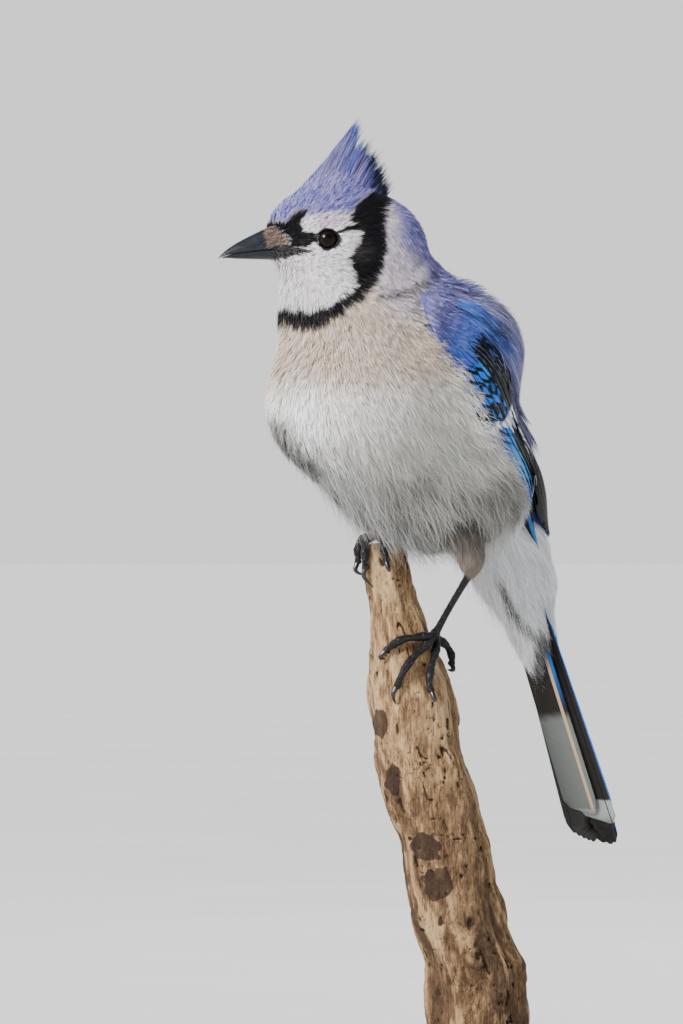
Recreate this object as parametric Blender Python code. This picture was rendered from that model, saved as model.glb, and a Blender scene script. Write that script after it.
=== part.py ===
"""A life-size blue jay on a cut length of weathered branch, held by a plain display stand.

Built in millimetres and stored in metres, +Z up. The origin is the centre of the stand's underside.
The picture plane is X and Z, and +Y points away from the viewer. The bird has two frames of its own:
the body frame (forward, left, up) about the torso's centre and the head frame about the skull's centre.
"""

import functools
import math
import random

import bmesh
import bpy
import numpy as np
from mathutils import Matrix, Vector

MM = 0.001
GAP = 0.3

# Driving sizes of the bird, in millimetres and degrees
BODY_YAW = 48.0
HEAD_YAW = 78.0
HEAD_PITCH = -3.0
TORSO_CENTRE = np.array([-21.6, -14.4, 239.0])
HEAD_CENTRE = np.array([-45.0, -35.5, 303.8])
TAIL_LENGTH = 123.5
TAIL_PITCH = 67.8
TAIL_ROOT = (-50.5, 3.4, -40.7)
FEATHER_THICK = 0.5
BODY_BLEND = 9.0
HEAD_BLEND = 6.0
PERCH_HOLLOW = np.array([-28.0, 0.5, 186.5])
PERCH_HOLLOW_RADIUS = 15.0
CUTTER_GROWTH = 0.5
BILL_GAP = 0.7

# How finely the coat is drawn
BODY_RINGS = 38
BODY_SIDES = 28
HEAD_RINGS = 40
HEAD_SIDES = 24

# Sizes of the perch and its stand
BRANCH_FOOT_Z = 18.0
BRANCH_TOP_Z = 194.2
BASE_RADIUS = 62.0
BASE_THICK = 8.0
ROD_RADIUS = 3.0
ROD_SPREAD = 9.0


def unit(vector):
    """The vector, or each row of an array, at length one."""
    vector = np.asarray(vector, float)
    return vector / np.maximum(np.linalg.norm(vector, axis=-1, keepdims=True), 1e-9)


def heading(yaw, pitch=0.0):
    """Rows are the forward, left and up directions of a frame turned from the viewer towards -X."""
    turn, tilt = math.radians(yaw), math.radians(pitch)
    level = np.array([-math.sin(turn), -math.cos(turn), 0.0])
    left = np.array([math.cos(turn), -math.sin(turn), 0.0])
    up = np.array([0.0, 0.0, 1.0])
    forward = level * math.cos(tilt) + up * math.sin(tilt)
    return np.array([forward, left, up * math.cos(tilt) - level * math.sin(tilt)])


BODY = heading(BODY_YAW)
HEAD = heading(HEAD_YAW, HEAD_PITCH)


def from_body(points):
    """Body frame to world."""
    return TORSO_CENTRE + np.asarray(points, float) @ BODY


def from_head(points):
    """Head frame to world."""
    return HEAD_CENTRE + np.asarray(points, float) @ HEAD


# The coat's outer surface is a smooth union of ellipsoids. Each has a centre, half sizes and a pitch in one of
# the two frames. The half sizes run forward, left and up before the pitch lifts the forward one.
BODY_FORMS = {
    "trunk": ((0, 0, 0), (52, 36, 35), 55),
    "collar": ((22.5, 0, 32), (27, 28, 21), 20),
    "breast": ((23, 0, 5), (31, 32, 28), 20),
    "belly": ((-8, 0, -14), (27, 29, 21), 15),
    "mantle": ((-12, 0, 22), (24, 33, 30), 50),
    "upper_back": ((-9, 0, 31), (22, 27, 19.5), 40),
    "nape": ((7, 0, 43), (22, 21, 23), 58),
    "rump": ((-37, 0, -20), (30, 22, 19), 56),
    "vent": ((-43, 0, -42), (26, 14, 11), 67),
    "flank_left": ((-15, 20, -25), (19, 13, 21), 60),
    "flank_right": ((-16, -20, -22), (19, 13, 19), 60),
    "undertail": ((-58.5, 2.6, -66), (30, 9.5, 8), 67.8),
    "uppertail": ((-54, 2.6, -44), (21, 9, 5), 67.8),
}
HEAD_FORMS = {
    "skull": ((-1, 0, 4), (20, 13.5, 15), 0),
    "face": ((4, 0, -4), (19, 12, 11), 0),
    "cheeks": ((-1, 0, -9), (18, 15, 13), 0),
    "throat": ((4, 0, -18), (16, 13.5, 13), 0),
    "forehead": ((13.5, 0, 6), (10.5, 6.5, 8), -25),
    "hindneck": ((-15.5, 0, -7), (18, 13, 20), 0),
    "bristles": ((19, 0, -1), (8, 4.2, 3.6), -10),
    "crest_core": ((-1.5, 0, 13), (14.5, 5.5, 12), 108),
}


def pitched(pitch):
    """Local axes of a form whose forward axis is lifted by pitch degrees."""
    tilt = math.radians(pitch)
    return np.array(
        [
            [math.cos(tilt), 0, math.sin(tilt)],
            [0, 1, 0],
            [-math.sin(tilt), 0, math.cos(tilt)],
        ]
    )


def form_distance(points, centre, half_sizes, axes):
    """Rough distance from points to an ellipsoid, negative inside."""
    local = (points - centre) @ axes.T
    half_sizes = np.asarray(half_sizes, float)
    reach = np.linalg.norm(local / half_sizes, axis=-1)
    slope = np.linalg.norm(local / half_sizes**2, axis=-1)
    return np.where(slope > 1e-9, reach * (reach - 1) / np.maximum(slope, 1e-9), -half_sizes.min())


def smooth_union(a, b, blend):
    """The lesser of two distances, rounded over where they are within blend of each other."""
    share = np.clip(0.5 + 0.5 * (b - a) / blend, 0, 1)
    return b * (1 - share) + a * share - blend * share * (1 - share)


def coat_distance(points):
    """Rough distance from world points to the coat's outer surface, negative inside."""
    points = np.asarray(points, float)
    in_body = (points - TORSO_CENTRE) @ BODY.T
    in_head = (points - HEAD_CENTRE) @ HEAD.T
    total = None
    for local, table, blend in ((in_body, BODY_FORMS, BODY_BLEND), (in_head, HEAD_FORMS, HEAD_BLEND)):
        for centre, half_sizes, pitch in table.values():
            one = form_distance(local, np.array(centre, float), half_sizes, pitched(pitch))
            total = one if total is None else smooth_union(total, one, blend)
    # The belly stays clear of the foot that stands on the top of the branch
    hollow = PERCH_HOLLOW_RADIUS - np.linalg.norm(points - PERCH_HOLLOW, axis=-1)
    return -smooth_union(-total, -hollow, 4.0)


def coat_normal(points):
    """Outward direction of the coat's surface near world points."""
    points = np.asarray(points, float)
    step = 0.4
    grad = [
        coat_distance(points + step * axis) - coat_distance(points - step * axis)
        for axis in np.eye(3)
    ]
    return unit(np.stack(grad, axis=-1))


# The body's long line from under the tail to the crown: forward, up and the pitch of the ring there
SPINE = [
    (-67, -90, 68),
    (-59, -71, 68),
    (-50, -53, 67),
    (-38, -36, 63),
    (-19, -14, 58),
    (0, 6, 57),
    (12, 26, 62),
    (20, 44, 70),
    (27, 57, 80),
    (31, 66, 88),
    (30, 80, 90),
    (29, 88, 90),
]


def smooth_path(points, count):
    """Points evenly spaced by index along a Catmull-Rom curve through the given ones."""
    points = np.asarray(points, float)
    padded = np.vstack([2 * points[0] - points[1], points, 2 * points[-1] - points[-2]])
    where = np.linspace(0, len(points) - 1, count)
    index = np.minimum(where.astype(int), len(points) - 2)
    t = (where - index)[:, None]
    a, b, c, d = (padded[index + k] for k in range(4))
    return 0.5 * (
        2 * b + (c - a) * t + (2 * a - 5 * b + 4 * c - d) * t**2 + (3 * b - a - 3 * c + d) * t**3
    )


def surface_from(starts, directions, reach=70.0):
    """Where rays that start inside the coat leave it, found by halving."""
    low = np.zeros(len(starts))
    steps = np.linspace(0, reach, 36)
    high = np.full(len(starts), reach)
    found = np.zeros(len(starts), bool)
    for near, far in zip(steps[:-1], steps[1:]):
        outside = coat_distance(starts + directions * far) > 0
        new = outside & ~found
        low[new], high[new] = near, far
        found |= new
    for _ in range(18):
        middle = (low + high) / 2
        outside = coat_distance(starts + directions * middle[:, None]) > 0
        high = np.where(outside, middle, high)
        low = np.where(outside, low, middle)
    return starts + directions * low[:, None]


@functools.cache
def coat_rings(rings, sides):
    """The whole coat as closed rings from under the tail to the crown, with a pole at each end."""
    spine = smooth_path(SPINE, rings)
    turns = np.arange(sides) / sides * 2 * math.pi
    made = []
    for forward, up, pitch in spine:
        tilt = math.radians(pitch)
        centre = from_body([forward, 0, up])
        left = BODY[1]
        front = BODY[0] * math.sin(tilt) - BODY[2] * math.cos(tilt)
        directions = np.cos(turns)[:, None] * front + np.sin(turns)[:, None] * left
        starts = np.tile(centre, (sides, 1))
        made.append(surface_from(starts, directions))
    first = from_body([SPINE[0][0], 0, SPINE[0][1]])
    last = from_body([SPINE[-1][0], 0, SPINE[-1][1]])
    ends = []
    for point, pitch, sign in ((first, SPINE[0][2], -1), (last, SPINE[-1][2], 1)):
        tilt = math.radians(pitch)
        along = sign * (BODY[0] * math.cos(tilt) + BODY[2] * math.sin(tilt))
        ends.append(surface_from(point[None], along[None])[0])
    return np.array(made), ends


def ring_faces(count, sides, first=0):
    """Quads between neighbouring rings of the same number of points."""
    faces = []
    for ring in range(count - 1):
        low, high = first + ring * sides, first + (ring + 1) * sides
        for side in range(sides):
            after = (side + 1) % sides
            faces.append((low + side, low + after, high + after, high + side))
    return faces


def paint(name, colour, roughness=0.6, metallic=0.0):
    """A plain Principled material, made once for each name."""
    material = bpy.data.materials.get(name)
    if material is None:
        material = bpy.data.materials.new(name)
        material.use_nodes = True
        shader = material.node_tree.nodes["Principled BSDF"]
        shader.inputs["Base Color"].default_value = (*colour, 1)
        shader.inputs["Roughness"].default_value = roughness
        shader.inputs["Metallic"].default_value = metallic
    return material


FINISHES = {
    "breast_feathers": ((0.62, 0.58, 0.54), 0.8),
    "blue_feathers": ((0.16, 0.22, 0.62), 0.6),
    "wing_feathers": ((0.08, 0.2, 0.62), 0.5),
    "thigh_feathers": ((0.35, 0.3, 0.28), 0.8),
    "horn": ((0.02, 0.02, 0.025), 0.3),
    "eye": ((0.02, 0.01, 0.006), 0.05),
    "leg_scales": ((0.03, 0.028, 0.035), 0.4),
    "dead_wood": ((0.45, 0.3, 0.18), 0.9),
    "stand_paint": ((0.05, 0.05, 0.05), 0.5),
    "stand_steel": ((0.5, 0.5, 0.52), 0.3, 1.0),
}


def mesh_object(name, points, faces, finish, smooth=True):
    """A mesh object from millimetre points, with its normals made to face out."""
    mesh = bpy.data.meshes.new(name)
    mesh.from_pydata((np.asarray(points) * MM).tolist(), [], faces)
    shape = bmesh.new()
    shape.from_mesh(mesh)
    bmesh.ops.remove_doubles(shape, verts=shape.verts, dist=1e-7)
    bmesh.ops.recalc_face_normals(shape, faces=shape.faces)
    shape.to_mesh(mesh)
    shape.free()
    if smooth:
        mesh.shade_smooth()
    mesh.materials.append(paint(finish, *FINISHES[finish]))
    made = bpy.data.objects.new(name, mesh)
    bpy.context.scene.collection.objects.link(made)
    return made


def tube(path, radii, sides=8, flatten=1.0, up=(0, 0, 1)):
    """Points and faces of a closed round tube along a path. Its ends are capped."""
    path = np.asarray(path, float)
    radii = np.broadcast_to(np.asarray(radii, float), (len(path),))
    along = unit(np.gradient(path, axis=0))
    turns = np.arange(sides) / sides * 2 * math.pi
    side = unit(np.cross(along[0], up))
    points = []
    for centre, direction, radius in zip(path, along, radii):
        side = unit(side - direction * np.dot(side, direction))
        other = np.cross(direction, side)
        ring = np.cos(turns)[:, None] * side + flatten * np.sin(turns)[:, None] * other
        points.append(centre + radius * ring)
    points = np.concatenate(points)
    faces = ring_faces(len(path), sides)
    faces.append(tuple(range(sides))[::-1])
    faces.append(tuple(range(len(points) - sides, len(points))))
    return points, faces


def plain_vane(centres, sides, ups, widths, thick=FEATHER_THICK):
    """Points and faces of one small feather: a thin plate, four points to a station."""
    points = []
    count = len(centres)
    for centre, side, up, width in zip(centres, sides, ups, widths):
        half = up * thick / 2
        points += [
            centre + side * width + half,
            centre - side * width + half,
            centre - side * width - half,
            centre + side * width - half,
        ]
    faces = []
    for station in range(count - 1):
        low, high = station * 4, station * 4 + 4
        faces += [(low, low + 1, high + 1), (low, high + 1, high)]
        faces += [(low + 2, low + 3, high + 2), (low + 3, high + 3, high + 2)]
        for a, b in ((1, 2), (3, 0)):
            faces.append((low + a, low + b, high + b, high + a))
    for first in (0, (count - 1) * 4):
        faces.append((first, first + 1, first + 2, first + 3))
    return points, faces


def vane(centres, sides, ups, left_widths, right_widths, thick=FEATHER_THICK, ridge=0.2):
    """Points and faces of one feather: a thin plate with a raised shaft, six points to a station."""
    points = []
    count = len(centres)
    for centre, side, up, left, right in zip(centres, sides, ups, left_widths, right_widths):
        half = up * thick / 2
        raised = up * (thick / 2 + ridge)
        points += [
            centre + side * left + half,
            centre + raised,
            centre - side * right + half,
            centre - side * right - half,
            centre - half,
            centre + side * left - half,
        ]
    faces = []
    for station in range(count - 1):
        low, high = station * 6, station * 6 + 6
        # The upper and lower faces split along the same diagonals, so that a curved vane keeps its thickness
        for a, b in ((0, 1), (1, 2)):
            faces += [(low + a, low + b, high + b), (low + a, high + b, high + a)]
        for a, b in ((5, 4), (4, 3)):
            faces += [(low + b, low + a, high + b), (low + a, high + a, high + b)]
        for a, b in ((2, 3), (5, 0)):
            faces += [(low + a, low + b, high + b, high + a)]
    for first in (0, (count - 1) * 6):
        faces += [
            (first, first + 1, first + 4, first + 5),
            (first + 1, first + 2, first + 3, first + 4),
        ]
    return points, faces


def shape_of_vane(share, width, tip=0.18, root=0.35):
    """Half width along a feather: narrow at the root, full in the middle, round at the tip."""
    rise = np.clip(share / root, 0, 1)
    rise = 0.45 + 0.55 * rise * rise * (3 - 2 * rise)
    end = np.clip((1 - share) / tip, 0, 1)
    return width * rise * np.sqrt(np.clip(1 - (1 - end) ** 2, 0.03, 1))


def evaluated_mesh(obj):
    """The object's mesh with its modifiers applied."""
    graph = bpy.context.evaluated_depsgraph_get()
    return bpy.data.meshes.new_from_object(obj.evaluated_get(graph))


def keep_largest(obj):
    """Removes every closed surface of the object but the one of largest volume."""
    shape = bmesh.new()
    shape.from_mesh(obj.data)
    shape.verts.ensure_lookup_table()
    seen, islands = set(), []
    for start in shape.verts:
        if start.index in seen:
            continue
        seen.add(start.index)
        stack, island = [start], [start]
        while stack:
            for edge in stack.pop().link_edges:
                for vert in edge.verts:
                    if vert.index not in seen:
                        seen.add(vert.index)
                        stack.append(vert)
                        island.append(vert)
        islands.append(island)
    if len(islands) > 1:

        def size(island):
            places = np.array([v.co for v in island])
            return float(np.prod(np.ptp(places, axis=0) + 1e-6)) * len(island) ** 0.5

        islands.sort(key=size)
        lost = [vert for island in islands[:-1] for vert in island]
        bmesh.ops.delete(shape, geom=lost, context="VERTS")
    shape.to_mesh(obj.data)
    shape.free()


def boolean(obj, operation, solver, other=None, group=None):
    """Applies one Boolean with an object or a collection."""
    cut = obj.modifiers.new("Boolean", "BOOLEAN")
    cut.operation = operation
    cut.solver = solver
    if group is not None:
        cut.operand_type = "COLLECTION"
        cut.collection = group
    else:
        cut.object = other
    finish = obj.data.materials[0]
    mesh = evaluated_mesh(obj)
    obj.modifiers.clear()
    obj.data = mesh
    mesh.materials.clear()
    mesh.materials.append(finish)
    keep_largest(obj)


def join(obj, pieces, solver="MANIFOLD"):
    """Unites closed pieces with the object in one union, then removes them."""
    if not pieces:
        return obj
    group = bpy.data.collections.new(obj.name + "_pieces")
    bpy.context.scene.collection.children.link(group)
    for piece in pieces:
        bpy.context.scene.collection.objects.unlink(piece)
        group.objects.link(piece)
    boolean(obj, "UNION", solver, group=group)
    for piece in pieces:
        bpy.data.objects.remove(piece)
    bpy.data.collections.remove(group)
    return obj


def carve(obj, cutter, solver="MANIFOLD"):
    """Cuts a closed cutter's volume out of the object. The cutter stays in the scene until it is removed."""
    boolean(obj, "DIFFERENCE", solver, other=cutter)
    return obj


def slice_off(obj, point, normal):
    """Removes what lies on the normal's side of a plane and closes the cut."""
    shape = bmesh.new()
    shape.from_mesh(obj.data)
    geometry = list(shape.verts) + list(shape.edges) + list(shape.faces)
    cut = bmesh.ops.bisect_plane(
        shape,
        geom=geometry,
        dist=1e-7,
        plane_co=Vector(np.asarray(point) * MM),
        plane_no=Vector(unit(normal)),
        clear_outer=True,
    )
    edges = [item for item in cut["geom_cut"] if isinstance(item, bmesh.types.BMEdge)]
    bmesh.ops.contextual_create(shape, geom=edges)
    bmesh.ops.recalc_face_normals(shape, faces=shape.faces)
    shape.to_mesh(obj.data)
    shape.free()
    return obj


def whole_coat(name, rings, sides, grow=0.0, finish="breast_feathers"):
    """The coat as one closed object, grown outward by a few tenths of a millimetre for a cutter."""
    made, ends = coat_rings(rings, sides)
    points = made.reshape(-1, 3)
    points = np.vstack([points, ends])
    if grow:
        points = points + grow * coat_normal(points)
    # Split the same way every time, so that a grown copy clears this surface all over
    faces = []
    for a, b, c, d in ring_faces(rings, sides):
        faces += [(a, b, c), (a, c, d)]
    low, high = rings * sides, rings * sides + 1
    for side in range(sides):
        after = (side + 1) % sides
        faces.append((low, after, side))
        top = (rings - 1) * sides
        faces.append((high, top + side, top + after))
    return mesh_object(name, points, faces, finish)


# Planes that part the body: a point in the body frame and the pitch of the plane's upward normal
PARTINGS = {
    "tail": (TAIL_ROOT, TAIL_PITCH),
    "rump": ((-26, 0, -26), 56),
    "neck": ((12, 0, 36), 66),
    "head": ((25, 0, 47), 74),
}


def parting(name):
    """World point and upward normal of one of the planes that part the body."""
    point, pitch = PARTINGS[name]
    tilt = math.radians(pitch)
    normal = BODY[0] * math.cos(tilt) + BODY[2] * math.sin(tilt)
    return from_body(point), normal


def length_between(name, lower, upper, rings, sides, finish):
    """The stretch of the coat between two partings, with half the gap taken off at each."""
    made = whole_coat(name, rings, sides, finish=finish)
    if upper:
        point, normal = parting(upper)
        slice_off(made, point - normal * GAP / 2, normal)
    if lower:
        point, normal = parting(lower)
        slice_off(made, point + normal * GAP / 2, -normal)
    return made


def clear_scene():
    """Empties the scene."""
    for item in list(bpy.data.objects):
        bpy.data.objects.remove(item)


TAIL_TURN = math.radians(TAIL_PITCH)
TAIL_DOWN = np.array([-math.cos(TAIL_TURN), 0, -math.sin(TAIL_TURN)])
TAIL_BELLY = np.array([math.sin(TAIL_TURN), 0, -math.cos(TAIL_TURN)])
TAIL_UNDERSIDE = 4.8


def on_tail(along, left, below=0.0):
    """World point from distances down the tail, to its left and below its middle plane."""
    return from_body(np.array(TAIL_ROOT) + along * TAIL_DOWN + np.array([0, left, 0]) + below * TAIL_BELLY)


def build_body():
    """Torso, rump and neck, the under tail coverts and the core that the tail feathers grow from."""
    torso = length_between("torso", "rump", "neck", BODY_RINGS, BODY_SIDES, "breast_feathers")
    rump = length_between("rump", "tail", "rump", BODY_RINGS, BODY_SIDES, "blue_feathers")
    neck = length_between("neck", "neck", "head", BODY_RINGS, BODY_SIDES, "breast_feathers")
    belly_side = TAIL_BELLY @ BODY
    coverts = length_between("undertail_coverts", None, "tail", BODY_RINGS, BODY_SIDES, "breast_feathers")
    slice_off(coverts, on_tail(0, 0, TAIL_UNDERSIDE), -belly_side)
    core = length_between("tail", None, "tail", BODY_RINGS, BODY_SIDES, "wing_feathers")
    slice_off(core, on_tail(0, 0, TAIL_UNDERSIDE - GAP), belly_side)
    slice_off(core, on_tail(20, 0, 0), TAIL_DOWN @ BODY)
    return torso, rump, neck, coverts, core


def feather(name, middle, sides, ups, widths, finish, shaft=False):
    """One vane as an object, with a raised shaft if wanted. widths holds the half width at each station."""
    if shaft:
        points, faces = vane(middle, sides, ups, widths, widths)
    else:
        points, faces = plain_vane(middle, sides, ups, widths)
    return mesh_object(name, points, faces, finish, smooth=False)


RECTRICES = 6
STATIONS = 5


def build_tail(core):
    """Twelve long feathers in two overlapping halves, the middle pair on top and longest."""
    pieces = []
    shares = np.linspace(0, 1, STATIONS)
    side, up = BODY[1], -(TAIL_BELLY @ BODY)
    for pair in range(RECTRICES):
        length = TAIL_LENGTH - 1.2 * pair - 0.35 * pair**2
        for hand in (1, -1):
            below = -1.6 + 0.85 * pair + (0.85 if pair else 0) + (0.85 if pair == 0 and hand < 0 else 0)
            inner = 4.5 if pair == 0 else 0.4
            outer_root = 5.4 + 0.6 * pair
            outer_tip = 9.0 + 1.2 * pair
            outline = shape_of_vane(shares, 1.0, tip=0.1, root=0.3)
            outer = (outer_root + (outer_tip - outer_root) * shares) * hand
            left_edge, right_edge = outer, np.full(STATIONS, -inner * hand)
            centre = (left_edge + right_edge) / 2
            half = np.abs(left_edge - right_edge) / 2 * outline
            spread = centre + 0.6
            middle = [
                on_tail(8 + (length - 8) * share, offset, below)
                for share, offset in zip(shares, spread)
            ]
            sides = np.tile(side, (STATIONS, 1))
            ups = np.tile(up, (STATIONS, 1))
            pieces.append(
                feather("rectrix", middle, sides, ups, half, "wing_feathers", shaft=pair in (0, 5))
            )
    for row, (start, end, count, lift) in enumerate(((4, 34, 4, -3.4), (2, 22, 3, -4.3))):
        for index in range(count):
            offset = (index - (count - 1) / 2) * 3.4
            shares4 = np.linspace(0, 1, 4)
            middle = [
                on_tail(start + (end - start) * share, offset * (1 + 0.2 * share), lift + 1.2 * share)
                for share in shares4
            ]
            half = shape_of_vane(shares4, 3.1, tip=0.4)
            pieces.append(
                feather(
                    "uppertail_covert",
                    middle,
                    np.tile(side, (4, 1)),
                    np.tile(up, (4, 1)),
                    half,
                    "wing_feathers",
                )
            )
    return join(core, pieces)


# The folded wing lies between a lower leading edge and an upper edge along the back, in the body frame
WING_LEAD = [
    (20, 33, 38),
    (12, 38, 26),
    (0, 38, 11),
    (-12, 36, -6),
    (-26, 28, -24),
    (-41, 20, -40),
    (-60, 10, -62),
]
WING_BACK = [
    (6, 20, 50),
    (-10, 22, 40),
    (-26, 18, 24),
    (-39, 13, 4),
    (-50, 11, -16),
    (-56, 8, -38),
    (-65, 5, -60),
]


def wing_point(hand, along, across, lift):
    """World points and outward normals on the folded wing. along runs wrist to tip, across lead to back."""
    along = np.atleast_1d(np.asarray(along, float))
    across = np.broadcast_to(np.asarray(across, float), along.shape)
    lift = np.broadcast_to(np.asarray(lift, float), along.shape)
    lead = smooth_path(WING_LEAD, 101)
    back = smooth_path(WING_BACK, 101)
    where = np.clip(along, 0, 1) * 100
    grid = np.arange(101)

    def read(path):
        return np.stack([np.interp(where, grid, path[:, k]) for k in range(3)], axis=-1)

    local = read(lead) * (1 - across[:, None]) + read(back) * across[:, None]
    local[:, 1] *= hand
    points = from_body(local)
    hold = np.clip((0.78 - along) / 0.2, 0, 1)[:, None]
    for _ in range(7):
        normal = coat_normal(points)
        points = points - normal * coat_distance(points)[:, None] * hold
    far = unit(from_body([[-67, 4 * hand, -50]]) - from_body([[-55, 0, -56]]))
    normal = unit(coat_normal(points) * hold + far * (1 - hold) + 1e-6)
    return points + normal * lift[:, None], normal


def wing_feather(hand, root, tip, width, lifts, tilt, stations=4, tip_round=0.3):
    """One folded wing feather from (along, across) at its root to its tip, tilted to lie over the next."""
    shares = np.linspace(0, 1, stations)
    along = root[0] + (tip[0] - root[0]) * shares
    across = root[1] + (tip[1] - root[1]) * shares
    lift = lifts[0] + (lifts[1] - lifts[0]) * shares
    middle, normal = wing_point(hand, along, across, lift)
    run = unit(np.gradient(middle, axis=0))
    side = unit(np.cross(normal, run)) * hand
    lean = math.radians(tilt)
    tilted = side * math.cos(lean) + normal * math.sin(lean)
    up = unit(np.cross(run, tilted)) * hand
    half = shape_of_vane(shares, width, tip=tip_round)
    return feather("wing_vane", middle, tilted * hand, up, half, "wing_feathers")


# Tiers of the folded wing: count, root and tip of the first feather and of the last one, half width, and lift
# at root and tip
WING_TIERS = {
    "primaries": (6, (0.46, 0.16), (1.0, 0.30), (0.46, 0.44), (0.80, 0.66), 4.0, (2.0, 2.0)),
    "secondaries": (5, (0.36, 0.20), (0.76, 0.12), (0.36, 0.62), (0.72, 0.62), 4.6, (2.6, 2.6)),
    "tertials": (3, (0.30, 0.68), (0.68, 0.72), (0.30, 0.84), (0.56, 0.90), 5.0, (3.0, 2.8)),
    "greater_coverts": (6, (0.24, 0.12), (0.46, 0.08), (0.22, 0.84), (0.42, 0.86), 4.0, (3.3, 4.0)),
    "median_coverts": (4, (0.12, 0.16), (0.30, 0.14), (0.10, 0.74), (0.28, 0.76), 5.4, (3.2, 4.6)),
    "scapulars": (3, (0.04, 0.56), (0.22, 0.60), (0.03, 0.86), (0.30, 0.90), 5.6, (2.9, 3.6)),
}
WING_TILT = 17


def wing_core(hand):
    """The padded root of the wing, thick at the shoulder and thin at its rim."""
    rows, columns = 9, 8
    reach, across = np.meshgrid(np.linspace(0, 1, rows), np.linspace(0.02, 0.98, columns), indexing="ij")
    reach, across = reach.ravel(), across.ravel()
    # The front end is round, from the lower edge over the shoulder to the back
    front = 0.14 * (2 * across - 1) ** 2
    along = front + (0.56 - front) * reach
    end = (reach - 0.42) / 0.58
    rim = np.maximum(0, 1 - np.abs(end) ** 2.4) * np.maximum(0, 1 - np.abs(2 * across - 1) ** 3)
    lower, _ = wing_point(hand, along, across, 0.95)
    upper, _ = wing_point(hand, along, across, 1.45 + 3.2 * np.sqrt(rim))
    size = rows * columns
    faces = []
    for row in range(rows - 1):
        for column in range(columns - 1):
            a = row * columns + column
            b, c, d = a + 1, a + columns + 1, a + columns
            faces += [(a, b, c), (a, c, d), (a + size, b + size, c + size), (a + size, c + size, d + size)]
    edge = [column for column in range(columns)]
    edge += [row * columns + columns - 1 for row in range(1, rows)]
    edge += [(rows - 1) * columns + column for column in range(columns - 2, -1, -1)]
    edge += [row * columns for row in range(rows - 2, 0, -1)]
    for here, after in zip(edge, edge[1:] + edge[:1]):
        faces.append((here, after, after + size, here + size))
    return np.vstack([lower, upper]), faces


def build_wing(hand, name):
    """A folded wing: its padded root and the tiers of overlapping feathers."""
    core = mesh_object(name, *wing_core(hand), "blue_feathers")
    pieces = []
    for count, root_a, tip_a, root_b, tip_b, width, lifts in WING_TIERS.values():
        for index in range(count):
            share = index / (count - 1)
            root = [p + (q - p) * share for p, q in zip(root_a, root_b)]
            tip = [p + (q - p) * share for p, q in zip(tip_a, tip_b)]
            pieces.append(wing_feather(hand, root, tip, width, lifts, WING_TILT))
    return join(core, pieces)


EYE_RADIUS = 4.2
LID_RADIUS = 3.95
EYE_PLACE = (4.5, 0.7)
MOUTH_LINE = [(23.5, -3.1), (19, -2.9), (14, -2.9), (11, -3.5), (8.8, -5.0)]


def eye_centre(hand):
    """World centre of an eye and the direction in which it looks."""
    inside = from_head([EYE_PLACE[0], 0, EYE_PLACE[1]])
    aim = unit(np.array([0.22, hand, 0.05]) @ HEAD)
    on_skin = surface_from(inside[None], (HEAD[1] * hand)[None])[0]
    return on_skin - aim * (EYE_RADIUS - 1.0), aim


def ball(name, centre, radius, finish, segments=14, rings=8):
    """A closed sphere."""
    shape = bmesh.new()
    bmesh.ops.create_uvsphere(shape, u_segments=segments, v_segments=rings, radius=radius * MM)
    mesh = bpy.data.meshes.new(name)
    shape.to_mesh(mesh)
    shape.free()
    mesh.transform(Matrix.Translation(Vector(centre * MM)))
    mesh.shade_smooth()
    mesh.materials.append(paint(finish, *FINISHES[finish]))
    made = bpy.data.objects.new(name, mesh)
    bpy.context.scene.collection.objects.link(made)
    return made


# The bill from its root to its tip in the head frame: forward, culmen, mouth line, underside and half width
BILL = [
    (15.0, 5.2, -2.5, -7.1, 4.6),
    (20.0, 5.8, -2.7, -7.2, 4.8),
    (24.0, 5.0, -2.9, -6.7, 4.3),
    (28.0, 3.4, -3.1, -6.3, 3.6),
    (32.0, 1.6, -3.4, -6.1, 2.9),
    (36.0, -0.5, -3.9, -5.9, 2.1),
    (39.5, -2.8, -4.6, -5.8, 1.3),
    (42.0, -4.8, -5.4, -5.8, 0.6),
]


def bill_half(name, upper):
    """The upper or the lower half of the bill."""
    turns = np.arange(12) / 12 * 2 * math.pi
    points = []
    stations = BILL if upper else BILL[:-1]
    for forward, culmen, mouth, underside, width in stations:
        high, low = (culmen, mouth) if upper else (mouth - GAP, underside)
        ring = []
        for turn in turns:
            across = math.cos(turn)
            rise = math.sin(turn)
            # Flat along the mouth line and rounded on the outer side
            outward = rise if upper else -rise
            share = max(0.0, outward)
            base, crown = (low, high) if upper else (high, low)
            place = base + (crown - base) * share
            inset = 0.95 if outward < 0 else (1 - 0.12 * outward)
            ring.append(from_head([forward, width * across * inset, place]))
        points += ring
    if upper:
        tip = from_head([43.0, 0, -6.1])
    else:
        tip = from_head([41.3, 0, -5.75])
    points.append(tip)
    faces = ring_faces(len(stations), 12)
    faces.append(tuple(range(12))[::-1])
    last = (len(stations) - 1) * 12
    for side in range(12):
        faces.append((last + side, last + (side + 1) % 12, len(points) - 1))
    return mesh_object(name, np.array(points), faces, "horn")


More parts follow.
